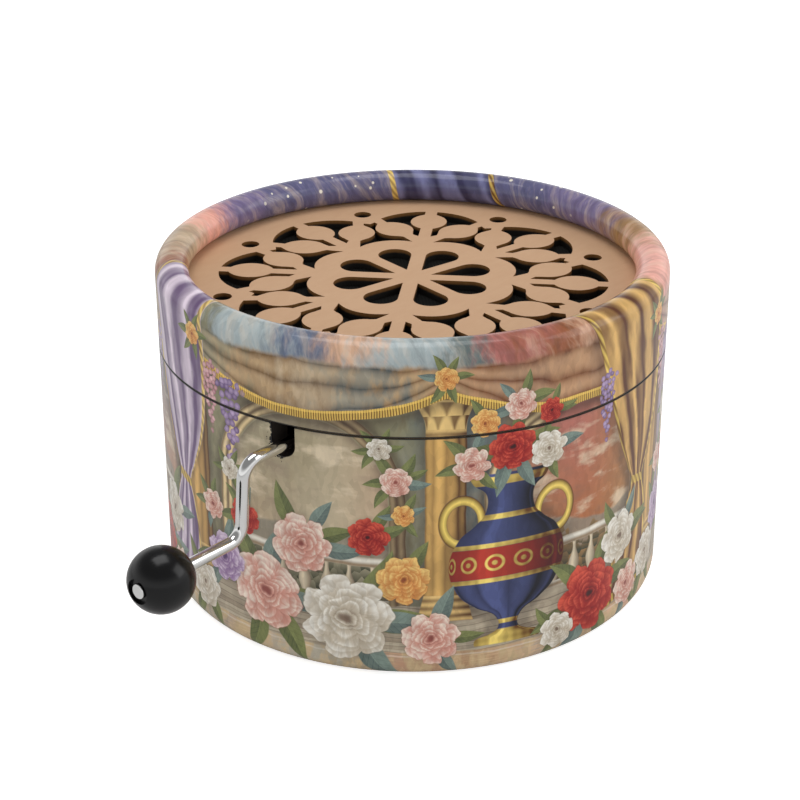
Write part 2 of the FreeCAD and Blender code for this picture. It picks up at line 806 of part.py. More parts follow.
def thrust_washers():
    """Washers between the worm's ends and the bracket's ears."""
    outer = worm_root + bush_flange_width
    inner = wire_radius + press_clearance
    start = ear_inside - worm_end_play / 2
    shapes = []
    for side in (-1, 1):
        near = shaft_line(drum_y + side * start)
        far = shaft_line(drum_y + side * (start - washer_thickness))
        shapes.append(tube(outer, inner, near, far))
    return Part.makeCompound(shapes)


def worm_bracket():
    """Folded sheet bracket over the worm, with a foot at each end and the shaft's two bores."""
    left = crank_x - ear_width / 2
    right = crank_x + ear_width / 2
    outside = ear_inside + sheet_thickness
    top_low = bracket_top - sheet_thickness
    shape = box((left, drum_y - outside, top_low), (right, drum_y + outside, bracket_top))
    for side in (-1, 1):
        ear_low, ear_high = sorted((drum_y + side * ear_inside, drum_y + side * outside))
        foot_low, foot_high = sorted((drum_y + side * ear_inside, drum_y + side * (outside + foot_tab)))
        shape = shape.fuse(box((left, ear_low, bed_top), (right, ear_high, bracket_top)))
        shape = shape.fuse(box((left, foot_low, bed_top), (right, foot_high, bed_top + sheet_thickness)))
    shape = shape.removeSplitter()
    outer_bends = []
    inner_bends = []
    for edge in shape.Edges:
        if abs(edge.BoundBox.XLength - ear_width) > 1e-6:
            continue
        middle = edge.BoundBox.Center
        across = abs(middle.y - drum_y)
        if abs(across - outside) < 1e-6 and abs(middle.z - bracket_top) < 1e-6:
            outer_bends.append(edge)
        if abs(across - ear_inside) < 1e-6 and abs(middle.z - bed_top) < 1e-6:
            outer_bends.append(edge)
        if abs(across - ear_inside) < 1e-6 and abs(middle.z - top_low) < 1e-6:
            inner_bends.append(edge)
        if abs(across - outside) < 1e-6 and abs(middle.z - bed_top - sheet_thickness) < 1e-6:
            inner_bends.append(edge)
    shape = shape.makeFillet(sheet_bend, inner_bends + outer_bends)
    reach = outside + 1
    bore = rod(bush_radius + press_clearance, shaft_line(drum_y - reach), shaft_line(drum_y + reach))
    shape = shape.cut(bore)
    for x, y in bracket_screw_places():
        radius = screw_radius + screw_hole_clearance
        shape = shape.cut(rod(radius, (x, y, bed_top - 1), (x, y, bed_top + sheet_thickness + 1)))
    return shape


# ---------------------------------------------------------------- crank and knob
def bent_wire(points, bend, radius):
    """A round wire through corner points, each corner rounded by one bend."""
    edges = []
    start = points[0]
    for before, corner, after in zip(points, points[1:], points[2:]):
        back = (before - corner).normalize()
        on = (after - corner).normalize()
        half_angle = back.getAngle(on) / 2
        reach = bend / math.tan(half_angle)
        inward = (back + on).normalize()
        middle = corner + inward * (bend / math.sin(half_angle) - bend)
        edges.append(line(start, corner + back * reach))
        edges.append(arc(corner + back * reach, middle, corner + on * reach))
        start = corner + on * reach
    edges.append(line(start, points[-1]))
    profile = Part.Wire(Part.Circle(points[0], points[1] - points[0], radius).toShape())
    return Part.Wire(edges).makePipeShell([profile], True, False)


def crank_rod():
    """One bent wire: shaft, arm and knob pin, with the pin's end peened over."""
    inner_end = drum_y + ear_inside + sheet_thickness + bush_flange + wire_radius
    head_y = pin_end_y + pin_head_height
    wire = bent_wire([
        Vector(crank_x, inner_end, crank_z),
        Vector(crank_x, crank_bend_y, crank_z),
        Vector(pin_x, crank_bend_y, pin_z),
        Vector(pin_x, head_y, pin_z),
    ], crank_bend, wire_radius)
    head = rod(pin_head_radius, (pin_x, head_y, pin_z), (pin_x, pin_end_y, pin_z))
    rim = [edge for edge in head.Edges if abs(edge.BoundBox.YMin - pin_end_y) < 1e-6 and edge.Closed]
    head = head.makeFillet(pin_head_round, rim[:1])
    return wire.fuse(head).removeSplitter()


def crank_knob():
    """Turned ball that spins on the crank's pin, with a recess round the peened end."""
    centre = Vector(pin_x, knob_y, pin_z)
    ball = Part.makeSphere(knob_radius, centre, Y_AXIS)
    far_end = knob_y - knob_radius
    near_end = knob_y + knob_radius
    bore = rod(wire_radius + running_clearance, (pin_x, far_end - 1, pin_z), (pin_x, near_end + 1, pin_z))
    recess_floor = far_end + knob_recess_depth
    recess = rod(knob_recess_diameter / 2, (pin_x, far_end - 1, pin_z), (pin_x, recess_floor, pin_z))
    return ball.cut(bore).cut(recess)


NODES = {
    "base_tube": base_tube,
    "base_wrap": base_wrap,
    "base_floor": base_floor,
    "neck_sleeve": neck_sleeve,
    "spacer_ring": spacer_ring,
    "movement_board": movement_board,
    "board_screws": board_screws,
    "bedplate": bedplate,
    "comb": comb,
    "comb_weights": comb_weights,
    "comb_dampers": comb_dampers,
    "comb_screws": comb_screws,
    "worm_bracket": worm_bracket,
    "bracket_screws": bracket_screws,
    "crank_bushes": crank_bushes,
    "arbor_bushes": arbor_bushes,
    "drum_shell": drum_shell,
    "drum_caps": drum_caps,
    "drum_pins": drum_pins,
    "drum_arbor": drum_arbor,
    "arbor_clips": arbor_clips,
    "drive_wheel": drive_wheel,
    "worm": worm,
    "thrust_washers": thrust_washers,
    "crank_rod": crank_rod,
    "crank_knob": crank_knob,
    "lid_tube": lid_tube,
    "lid_wrap": lid_wrap,
    "rosette_grille": rosette_grille,
    "grille_liner": grille_liner,
    "retainer_ring": retainer_ring,
}

for node, make in NODES.items():
    save(make(), node)
print("box height", round(box_height, 3), "shaft height", round(crank_z, 3))
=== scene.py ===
"""Looks of the hand-cranked music box: a round paper box with a printed wrap, a pierced board grille
in its lid, a bright wire crank with a black ball, and the pinned-drum movement inside.

Lengths are in metres, in the row frame: +Z up, the crank towards -Y, the box's axis on Z. The
print's own places are in millimetres on its unrolled strip: s along the wall, from the middle of the
front, and t up the wall and on over the rolled rim.
"""
import json
import math
import random

import bmesh
import bpy
import numpy as np
from mathutils import Matrix, Vector


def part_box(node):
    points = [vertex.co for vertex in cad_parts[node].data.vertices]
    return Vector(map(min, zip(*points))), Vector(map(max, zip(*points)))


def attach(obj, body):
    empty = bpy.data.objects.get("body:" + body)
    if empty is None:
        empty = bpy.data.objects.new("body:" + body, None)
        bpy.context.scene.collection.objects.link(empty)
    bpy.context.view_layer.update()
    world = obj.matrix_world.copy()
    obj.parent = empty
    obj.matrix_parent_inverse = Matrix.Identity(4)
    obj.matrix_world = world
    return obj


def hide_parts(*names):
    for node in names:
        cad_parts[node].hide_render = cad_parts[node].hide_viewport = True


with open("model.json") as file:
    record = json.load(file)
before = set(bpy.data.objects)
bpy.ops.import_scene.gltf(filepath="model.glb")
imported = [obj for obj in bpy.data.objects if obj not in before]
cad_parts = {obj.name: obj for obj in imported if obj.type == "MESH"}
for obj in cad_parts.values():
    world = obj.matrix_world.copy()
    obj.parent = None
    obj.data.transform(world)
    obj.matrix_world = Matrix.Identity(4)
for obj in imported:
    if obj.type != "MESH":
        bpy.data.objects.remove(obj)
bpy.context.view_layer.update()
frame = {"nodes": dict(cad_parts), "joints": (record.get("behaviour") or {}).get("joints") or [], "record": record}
NODES = frame["nodes"]

MM = 0.001

# ---- places taken from the frame
wrap_low, wrap_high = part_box("base_wrap")
lid_low, lid_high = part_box("lid_wrap")
crank_joint = next(joint for joint in frame["joints"] if joint["name"] == "crank_turn")
box_radius = wrap_high.x
tube_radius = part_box("base_tube")[1].x
curl_outside = 2.45 * MM                # radius of the printed curl, at the rim and the foot
foot_print_end = math.radians(50)       # where the base's print ends on its lower curl
rim_print_end = math.radians(255)       # where the lid's print ends, under the rim's inside
curl_ring = box_radius - curl_outside
rim_curl_z = lid_high.z - curl_outside
foot_curl_z = wrap_low.z + curl_outside * math.sin(foot_print_end)
slot_place = Vector(crank_joint["pos_m"])
slot_width = 3.5 * MM
front_turn = math.radians(-49.5)        # direction in which the print's middle faces


# ---- node helpers
def socket_of(value):
    return value.socket if isinstance(value, Field) else value


def link(socket, value):
    """Joins a socket to where a value comes from, or sets it to a plain value."""
    value = socket_of(value)
    if isinstance(value, bpy.types.NodeSocket):
        socket.id_data.links.new(value, socket)
    else:
        socket.default_value = value


MADE = {}
EDITED_AFTERWARDS = ("ShaderNodeValToRGB", "ShaderNodeFloatCurve")


def add(kind, settings=None, tree=None, **inputs):
    """One node: its settings, then its inputs by socket name or as _NUMBER, each a value or a socket.

    It goes in the tree of its first linked input, if no tree is given. An equal node that the tree
    has already is used again, which keeps large shaders small.
    """
    given = []
    for key, value in inputs.items():
        value = socket_of(value)
        if isinstance(value, bpy.types.NodeSocket):
            tree = tree or value.id_data
            value = (value.node.name, value.identifier)
        given.append((key, value))
    recipe = repr((tree.as_pointer(), kind, settings, given))
    if recipe in MADE and kind not in EDITED_AFTERWARDS:
        return MADE[recipe]
    node = MADE[recipe] = tree.nodes.new(kind)
    for key, value in (settings or {}).items():
        setattr(node, key, value)
    for key, value in inputs.items():
        name = int(key[1:]) if key[1:].isdigit() else key.replace("_", " ")
        link(node.inputs[name], value)
    return node


def sign(operation, reverse=False):
    """The method of an arithmetic sign between a field and another value."""
    if reverse:
        return lambda field, other: field.do(operation, first=other)
    return lambda field, other: field.do(operation, other)


class Field:
    """A value that varies over a surface, with the arithmetic of the formulas that use it."""

    def __init__(self, socket):
        self.socket = socket

    def do(self, operation, *others, first=None):
        values = (self, *others) if first is None else (first, self, *others)
        inputs = {f"_{index}": value for index, value in enumerate(values)}
        return Field(add("ShaderNodeMath", {"operation": operation}, **inputs).outputs[0])

    __add__ = __radd__ = sign("ADD")
    __mul__ = __rmul__ = sign("MULTIPLY")
    __sub__, __rsub__ = sign("SUBTRACT"), sign("SUBTRACT", reverse=True)
    __truediv__, __rtruediv__ = sign("DIVIDE"), sign("DIVIDE", reverse=True)
    __pow__ = sign("POWER")

    def __abs__(self):
        return self.do("ABSOLUTE")

    def wave(self, turns=1.0):
        """A sine of so many radians to each unit."""
        return (self * turns).do("SINE")

    def clamped(self):
        """The value held between 0 and 1."""
        return Field(add("ShaderNodeClamp", Value=self).outputs[0])

    def held(self, limit):
        """The value held between minus and plus a limit."""
        return self.do("MINIMUM", limit).do("MAXIMUM", -limit)

    def rising(self, low, high):
        """A smooth step from 0 at low to 1 at high."""
        settings = {"interpolation_type": "SMOOTHSTEP", "clamp": False}
        node = add("ShaderNodeMapRange", settings, Value=self, From_Min=low, From_Max=high)
        return Field(node.outputs[0])

    def within(self, half, soft):
        """1 where the value is nearer to 0 than half, fading over soft at that edge."""
        return ((half - abs(self)) / soft).clamped()

    def between(self, low, high, soft):
        return self.past(low, soft) * ((high - self) / soft).clamped()

    def past(self, edge, soft):
        """1 where the value is greater than an edge, fading over soft beyond it."""
        return ((self - edge) / soft).clamped()

    def positive(self):
        return self.do("MAXIMUM", 0.0)

    def repeated(self, period, start=0.0):
        """The distance from the nearest of evenly spaced places, one of them at start."""
        return (self - start).do("WRAP", period / 2, -period / 2)


def parts(vector):
    """The three parts of a vector."""
    return [Field(socket) for socket in add("ShaderNodeSeparateXYZ", Vector=vector).outputs]


def channels(colour):
    """The red, green and blue of a colour, as three unlike random values where it is a noise's."""
    return [Field(socket) for socket in add("ShaderNodeSeparateColor", Color=colour).outputs]


def distance(x, y):
    return (x * x + y * y).do("SQRT")


def joined(x, y, z=0.0):
    return add("ShaderNodeCombineXYZ", X=x, Y=y, Z=z).outputs[0]


def mix(share, first, second, blend="MIX"):
    settings = {"data_type": "RGBA", "blend_type": blend}
    return add("ShaderNodeMix", settings, _0=share, _6=first, _7=second).outputs[2]


def noise(coords, scale, detail=3.0, rough=0.5, stretch=None):
    """Noise on coordinates, or on two or three fields, stretched by three factors if they are given."""
    if isinstance(coords, tuple):
        coords = joined(*coords)
    if stretch is not None:
        coords = add("ShaderNodeMapping", Vector=coords, Scale=stretch).outputs[0]
    node = add("ShaderNodeTexNoise", Vector=coords, Scale=scale, Detail=detail, Roughness=rough)
    return Field(node.outputs[0])


def colour_ramp(value, stops, smooth="EASE"):
    """Colours at places from 0 to 1 along a value, the places in rising order."""
    node = add("ShaderNodeValToRGB", Fac=value)
    node.color_ramp.interpolation = smooth
    spots = node.color_ramp.elements
    spots[0].position, spots[0].color = stops[0]
    spots[1].position, spots[1].color = stops[-1]
    for place, colour in stops[1:-1]:
        spots.new(place).color = colour
    return node.outputs[0]


def object_coords(tree):
    return add("ShaderNodeTexCoord", tree=tree).outputs["Object"]


def new_group(name, inputs, outputs):
    """An empty shader group. Inputs are name: default; outputs are name: socket type."""
    tree = bpy.data.node_groups.new(name, "ShaderNodeTree")
    for label, default in inputs.items():
        kind = "NodeSocketFloat"
        if isinstance(default, tuple):
            kind = "NodeSocketColor" if len(default) == 4 else "NodeSocketVector"
        socket = tree.interface.new_socket(label, in_out="INPUT", socket_type=kind)
        socket.default_value = default
    for label, kind in outputs.items():
        tree.interface.new_socket(label, in_out="OUTPUT", socket_type=kind)
    return tree, tree.nodes.new("NodeGroupInput").outputs, tree.nodes.new("NodeGroupOutput").inputs


def use_group(group, **inputs):
    return add("ShaderNodeGroup", {"node_tree": group}, **inputs).outputs


def rgb(red, green, blue):
    """A colour from its 0 to 255 screen values."""
    values = []
    for part in (red / 255, green / 255, blue / 255):
        values.append(part / 12.92 if part <= 0.04045 else ((part + 0.055) / 1.055) ** 2.4)
    return (*values, 1.0)


COLOUR, VALUE = "NodeSocketColor", "NodeSocketFloat"
ORIGIN = (0.0, 0.0, 0.0)
SHADE_BLACK = rgb(12, 9, 7)                    # near black of the painted shade along the seam between base and lid and round the crank's slot


# ---- effects that several finishes share
def make_fibre_group():
    """Pressed fibres: fine flecks and soft clouds in a board's colour, with their height."""
    tree, given, out = new_group(
        "board_fibre",
        {"Coords": ORIGIN, "Board": (0.5, 0.5, 0.5, 1.0), "Fleck": (0.3, 0.3, 0.3, 1.0), "Amount": 0.5},
        {"Color": COLOUR, "Height": VALUE},
    )
    clouds = noise(given["Coords"], 90, 4)
    long_fibres = noise(given["Coords"], 900, 3, 0.6, (1.0, 1.0, 0.25))
    specks = noise(given["Coords"], 2600, 2)
    fleck_mask = long_fibres.rising(0.52, 0.72) * given["Amount"]
    tone = mix(fleck_mask, given["Board"], given["Fleck"])
    link(out["Color"], mix(1.0, tone, clouds * 0.18 + 0.9, "MULTIPLY"))
    link(out["Height"], long_fibres + specks * 0.6)
    return tree


def make_edge_group():
    """Mask of the corners of a piece, 1 on a sharp edge, broken up a little."""
    tree, given, out = new_group("edge_mask", {"Coords": ORIGIN, "Width": 0.0003}, {"Mask": VALUE})
    rounded = add("ShaderNodeBevel", {"samples": 6}, Radius=given["Width"]).outputs[0]
    plain = add("ShaderNodeNewGeometry", tree=tree).outputs["Normal"]
    same = add("ShaderNodeVectorMath", {"operation": "DOT_PRODUCT"}, _0=rounded, _1=plain)
    turned = 1.0 - Field(same.outputs["Value"])
    link(out["Mask"], (turned - noise(given["Coords"], 900) * 0.12).rising(0.0, 0.2))
    return tree


def make_metal_group():
    """Fine tool marks and handling marks on metal: a tone factor, a roughness and a height."""
    tree, given, out = new_group(
        "metal_marks",
        {"Coords": ORIGIN, "Stretch": (1.0, 1.0, 1.0), "Roughness": 0.3, "Spread": 0.1},
        {"Tone": VALUE, "Roughness": VALUE, "Height": VALUE},
    )
    settings = {"operation": "MULTIPLY"}
    along = add("ShaderNodeVectorMath", settings, _0=given["Coords"], _1=given["Stretch"]).outputs[0]
    marks = noise(along, 1400, 3, 0.6)
    smudges = noise(given["Coords"], 160, 3)
    link(out["Tone"], smudges * 0.18 + 0.88)
    link(out["Roughness"], (marks + smudges - 1.0) * given["Spread"] + given["Roughness"])
    link(out["Height"], marks)
    return tree


FIBRE = make_fibre_group()
EDGE = make_edge_group()
MARKS = make_metal_group()


# ---- finishes
def new_material(name, **sockets):
    """A material and its tree, with its shader's plain sockets set by name."""
    material = bpy.data.materials.new(name)
    material.use_nodes = True
    shader = material.node_tree.nodes["Principled BSDF"]
    for key, value in sockets.items():
        shader.inputs[key.replace("_", " ")].default_value = value
    return material, material.node_tree


def dress(material, colour, height, bump, roughness=None):
    """The material with its colour, its relief, bump metres deep, and a roughness if it varies."""
    shader = material.node_tree.nodes["Principled BSDF"]
    link(shader.inputs["Base Color"], colour)
    if roughness is not None:
        link(shader.inputs["Roughness"], roughness)
    relief = add("ShaderNodeBump", Height=height, Distance=bump, Strength=1.0)
    link(shader.inputs["Normal"], relief.outputs[0])
    return material


def board_finish(name, board, fleck, amount, roughness, bump):
    """Plain board or paper tube, with painted shade near black on the cut faces of the crank's slot and in a thin
    band round them.
    """
    material, tree = new_material(name, Roughness=roughness)
    coords = object_coords(tree)
    fibre = use_group(FIBRE, Coords=coords, Board=board, Fleck=fleck, Amount=amount)
    x, y, z = parts(coords)
    # Painted shade: the slot's cut faces and 0.2 mm round them turn near black, standing in for the dark of the
    # slot.
    slot_edge_shade = (x - slot_place.x).within(slot_width / 2 + 0.2 * MM, 0.1 * MM)
    slot_edge_shade = slot_edge_shade * (-0.8 * tube_radius - y).rising(0, MM)
    slot_edge_shade = slot_edge_shade * (z - slot_place.z + slot_width / 2 + 0.2 * MM).rising(0, 0.1 * MM)
    tone = mix(slot_edge_shade, fibre["Color"], mix(fibre["Height"], SHADE_BLACK, rgb(40, 30, 22)))
    return dress(material, tone, fibre["Height"], bump)


def metal_finish(name, colour, roughness, spread=0.08, stretch=(1.0, 1.0, 1.0), bump=0.000004,
                 edge=None):
    """Bare or plated metal, with marks along one direction and bright edges if a colour is given."""
    material, tree = new_material(name, Metallic=1.0)
    coords = object_coords(tree)
    marks = use_group(MARKS, Coords=coords, Stretch=stretch, Roughness=roughness, Spread=spread)
    tone = mix(1.0, colour, marks["Tone"], "MULTIPLY")
    if edge is not None:
        worn = Field(use_group(EDGE, Coords=coords)["Mask"]) * 0.6
        tone = mix(worn, tone, edge)
    return dress(material, tone, marks["Height"], bump, marks["Roughness"])


def plastic_finish(name, colour, roughness, mottle, bump, shine):
    """Moulded or turned plastic with a faint mottle."""
    material, tree = new_material(name, Specular_IOR_Level=shine)
    coords = object_coords(tree)
    smudge = noise(coords, 210, 4)
    tone = mix(1.0, colour, smudge * (2 * mottle) + (1 - mottle), "MULTIPLY")
    rough = (smudge - 0.5) * 0.12 + roughness
    return dress(material, tone, noise(coords, 1500, 2), bump, rough)


def grille_finish():
    """Laser-cut board: a smooth tan face, and cut edges browned by the laser at the top, with painted shade taking
    them to black towards the lower face.
    """
    material, tree = new_material("grille_board", Roughness=0.66, Specular_IOR_Level=0.25)
    coords = object_coords(tree)
    grain = noise(coords, 900, 4, 0.65, (1.0, 0.3, 1.0))
    face = mix(grain.rising(0.3, 0.7), rgb(199, 161, 127), rgb(202, 165, 131))
    face = mix(noise(coords, 60) * 0.3, face, rgb(186, 146, 112))
    upright = abs(parts(add("ShaderNodeTexCoord", tree=tree).outputs["Normal"])[2])
    low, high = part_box("rosette_grille")
    depth = (parts(coords)[2] - low.z) / (high.z - low.z)
    burn_lines = noise(coords, 2400, 2, 0.5, (1.0, 1.0, 0.12))
    darkened = mix(burn_lines * 0.6 + depth.rising(0.6, 1.0) * 0.4, rgb(90, 60, 28), rgb(134, 92, 46))
    # Painted shade: the lower half of the holes' cut walls turns near black; the brown above is the laser's burn.
    darkened = mix(depth.rising(0.52, 0.76), rgb(22, 20, 17), darkened)
    scorch = Field(use_group(EDGE, Coords=coords, Width=0.00022)["Mask"])
    face = mix(scorch * 0.3, face, rgb(140, 98, 60))
    return dress(material, mix(upright.rising(0.35, 0.75), darkened, face), grain, 0.000003)


def cloth_finish():
    """Plain-woven black cloth."""
    material, tree = new_material("black_cloth", Roughness=0.95, Specular_IOR_Level=0.1)
    thread_pitch = 0.35 * MM
    x, y, _ = parts(object_coords(tree))
    over = x.wave(math.pi / thread_pitch) * y.wave(math.pi / thread_pitch)
    tone = mix(over.rising(-1.0, 1.0), rgb(20, 20, 19), rgb(29, 29, 27))
    return dress(material, tone, over, 0.00003)


def wood_finish():
    """Sanded fibreboard of the sounding board."""
    material, tree = new_material("sound_board", Roughness=0.55)
    coords = object_coords(tree)
    grain = noise(coords, 260, 5, 0.65, (0.09, 1.0, 1.0))
    specks = noise(coords, 1500)
    face = mix(grain.rising(0.3, 0.7), rgb(176, 134, 90), rgb(208, 170, 122))
    face = mix(specks.rising(0.5, 0.8) * 0.4, face, rgb(140, 100, 62))
    return dress(material, face, grain, 0.00002)


# ---- the print's paints
CREAM, IVORY, SAND = rgb(204, 188, 158), rgb(232, 226, 212), rgb(182, 158, 128)
SAGE, PALE_SAGE, MOSS = rgb(134, 130, 100), rgb(162, 154, 126), rgb(82, 90, 62)
TEAL, MIST, SLATE = rgb(98, 112, 112), rgb(166, 178, 180), rgb(98, 110, 134)
OCHRE, AMBER = rgb(164, 124, 74), rgb(172, 106, 56)
DUSK, VIOLET, LILAC = rgb(94, 94, 132), rgb(118, 106, 146), rgb(174, 154, 178)
PEACH, SALMON, ROSE = rgb(214, 172, 142), rgb(234, 168, 152), rgb(178, 108, 100)
RUST, BROWN, UMBER = rgb(150, 88, 54), rgb(104, 78, 58), rgb(58, 42, 32)

STRIP_LENGTH = 2 * math.pi * box_radius / MM
STRIP_END = 117.8                       # where the colours along the strip are back at the first
BAY = STRIP_LENGTH / 6                  # from column to column
COLUMN_START = 4.5
# Heights of the hall's parts on the strip and the sizes of its openings and columns, in mm.
STEP_TOP, FLOOR_TOP = 4.0, 11.4
LOW_RAIL, TOP_RAIL = (11.0, 12.2), (17.3, 18.9)
ARCH_SPRING, ARCH_RADIUS = 27.0, 12.0
COLUMN, CAPITAL, SHAFT_HALF = (8.8, 44.0), (38.0, 42.4), 2.8
SWAG_TOP, SWAG_DROP = 43.8, 4.0
RIM_START = (46.4, 47.4)
WALL_STOPS = [(-118, SAGE), (-98, SAND), (-78, PEACH), (-62, SAND), (-50, LILAC), (-42, SAND),
              (-32, SAGE), (-16, PALE_SAGE), (-4, SAGE), (8, TEAL), (18, OCHRE), (30, AMBER),
              (42, OCHRE), (50, LILAC), (66, PALE_SAGE), (84, OCHRE), (100, TEAL)]
SWAG_STOPS = [(-118, DUSK), (-90, VIOLET), (-66, OCHRE), (-44, SAND), (-31, SAGE), (-22, OCHRE),
              (-14, SAND), (-6, TEAL), (1, OCHRE), (8, AMBER), (15, RUST), (24, AMBER), (32, RUST),
              (42, ROSE), (56, OCHRE), (76, VIOLET), (96, DUSK)]
RIM_STOPS = [(-118, DUSK), (-94, DUSK), (-82, VIOLET), (-74, SALMON), (-62, SAND), (-52, RUST),
             (-43, MOSS), (-35, SAGE), (-29, MIST), (-22, MIST), (-16, SLATE), (-10, PEACH),
             (-4, MIST), (3, MIST), (8, TEAL), (13, ROSE), (22, RUST), (30, PEACH), (38, SLATE),
             (43, OCHRE), (48, SALMON), (60, SALMON), (70, OCHRE), (82, VIOLET), (94, DUSK)]
SKY_STOPS = [(-118, ROSE), (-78, PEACH), (-56, AMBER), (-36, PEACH), (-24, SAND), (-12, CREAM),
             (2, PEACH), (14, OCHRE), (26, AMBER), (40, OCHRE), (66, PEACH), (90, LILAC)]
ZENITH_STOPS = [(-118, SLATE), (-78, VIOLET), (-40, TEAL), (-22, PALE_SAGE), (4, SAND), (22, ROSE),
                (40, OCHRE), (66, SLATE), (90, DUSK)]
LEAF_STOPS = [(-118, SAGE), (-60, OCHRE), (-26, SAGE), (-8, PALE_SAGE), (10, SAGE), (24, OCHRE),
              (44, SAGE), (80, OCHRE)]


def from_bay_middle(s):
    """How far along the strip a place is from the middle of its bay."""
    return s.repeated(BAY, COLUMN_START + BAY / 2)


def along_strip(s, stops):
    """Colours that follow each other round the box, back to the first one."""
    half = STRIP_LENGTH / 2
    closed = [*stops, (STRIP_END, stops[0][1])]
    places = [((max(place, -half) + half) / STRIP_LENGTH, colour) for place, colour in closed]
    return colour_ramp((s + half) / STRIP_LENGTH, places)


def cells(x, y, scale, randomness=1.0):
    """The outputs of flat random cells: distance to the nearest centre, its place and its colour."""
    settings = {"voronoi_dimensions": "2D"}
    place = joined(x, y)
    node = add("ShaderNodeTexVoronoi", settings, Vector=place, Scale=scale, Randomness=randomness)
    return node.outputs


def per_item(number):
    """A random share for each whole number."""
    settings = {"noise_dimensions": "1D"}
    return Field(add("ShaderNodeTexWhiteNoise", settings, W=number.do("FLOOR")).outputs["Value"])


# ---- the print's motifs
def tints(tint, *colours):
    """One of several colours in 0 to 255 screen values, by a whole number from 0."""
    count = len(colours)
    stops = [(index / count, rgb(*colour)) for index, colour in enumerate(colours)]
    return colour_ramp((tint + 0.5) / count, stops, "CONSTANT")


def outline(value, points):
    """A smooth curve through points with both parts from 0 to 1, such as a half width by height."""
    node = add("ShaderNodeFloatCurve", Value=value)
    curve = node.mapping.curves[0]
    curve.points[0].location, curve.points[-1].location = points[0], points[-1]
    for point in points[1:-1]:
        curve.points.new(*point)
    node.mapping.update()
    return Field(node.outputs[0])


def motif_group(draw):
    """A shader group of one motif, from the place on it: x and y from -1 to 1, tint number and chance.

    The motif's function is given these and gives its colour, its mask and, of some, its soft shade.
    """
    tree, given, out = new_group(draw.__name__, {"Place": ORIGIN}, {})
    x, y, kind = parts(given["Place"])
    tint = kind.do("FLOOR")
    drawn = draw(x, y, tint, kind - tint)
    for label, kind, value in zip(("Color", "Mask", "Halo"), (COLOUR, VALUE, VALUE), drawn):
        tree.interface.new_socket(label, in_out="OUTPUT", socket_type=kind)
        link(out[label], value)
    return tree


def bloom(x, y, tint, chance):
    """A full double flower seen from the front: rings of lobed petals, each light at its lip."""
    wobble = add("ShaderNodeTexNoise", Vector=joined(x, y, chance * 40), Scale=2.4, Detail=2.0)
    push = channels(wobble.outputs["Color"])
    x = x + (push[0] - 0.5) * 0.34
    y = y + (push[1] - 0.5) * 0.34
    reach = distance(x, y)
    turn = y.do("ARCTAN2", x)
    streak = noise((turn * 5, reach * 1.5, chance * 9), 2.2, 2)
    shade = (x * 0.12 - y * 0.2).clamped()
    tone = reach * 0
    insides = []
    rings = [(0.92, 7), (0.78, 6), (0.62, 6), (0.47, 5), (0.33, 4), (0.19, 3)]
    for ring, (radius, petals) in enumerate(rings):
        lobe = abs((turn * (petals / 2) + chance * (5 + ring * 3) + ring * 1.9).do("SINE"))
        lip = (lobe ** 0.5) * (0.24 * radius) + 0.76 * radius
        inside = lip.past(reach, 0.03)
        up = reach / lip
        petal = (up ** 2.2) * (lobe * 0.4 + 0.6) * (streak * 0.7 + 0.62) - shade
        tone = tone + (petal - tone) * inside
        insides.append(inside)
    halo = 1.0 - reach.rising(0.55, 1.15)
    deep = tints(tint, (140, 74, 66), (58, 8, 12), (84, 60, 104), (140, 72, 36), (120, 100, 84))
    middle = tints(tint, (202, 144, 128), (150, 26, 24), (150, 120, 160), (206, 136, 70),
                   (190, 178, 158))
    light = tints(tint, (238, 222, 206), (212, 84, 62), (218, 200, 218), (240, 204, 124),
                  (236, 232, 222))
    colour = mix(tone.rising(0.0, 0.42), deep, middle)
    return mix(tone.rising(0.36, 0.95), colour, light), insides[0], halo


def leaf(x, y, tint, chance):
    """A pointed leaf along x, bent a little, with a pale rib, side veins and one half in shade."""
    y = y + (x * x - 0.4) * (chance - 0.5) * 0.5
    half = (1.0 - x * x).positive() * (0.34 - x * 0.1)
    mask = y.within(half, 0.03)
    vein = (x * 5.0 - abs(y) * 5.0 + chance * 3).do("FRACT")
    mottle = noise((x * 2, y * 5, chance * 20), 2.0, 3)
    tone = 0.2 + y.rising(-0.05, 0.05) * 0.3 + mottle * 0.5 - vein.rising(0.82, 1.0) * 0.22
    tone = tone + y.within(0.02, 0.02) * 0.35
    dark = tints(tint, (44, 58, 40), (96, 66, 18), (50, 66, 70))
    light = tints(tint, (140, 146, 88), (244, 208, 84), (140, 158, 146))
    return mix(tone.clamped(), dark, light), mask


def raceme(x, y, tint, chance):
    """A hanging raceme of small blossoms, wide at the top (x = -1) and pointed below."""
    grains = cells(x + chance * 0.3, y, 8.0, 0.75)
    centre = parts(grains["Position"])
    middle_x, middle_y = centre[0] - chance * 0.3, centre[1]
    half = (0.9 - middle_x) * 0.2 * (middle_x + 1.0).rising(-0.05, 0.25)
    kept = middle_y.within(half, 0.01)
    spread = Field(grains["Distance"])
    mask = kept * (1.0 - spread.rising(0.5, 0.58))
    tone = channels(grains["Color"])[0] * 0.55 + (1.0 - spread * 1.9) * 0.5
    deep = tints(tint, (88, 62, 112), (150, 84, 102))
    light = tints(tint, (196, 172, 206), (232, 192, 190))
    return mix(tone.clamped(), deep, light), mask


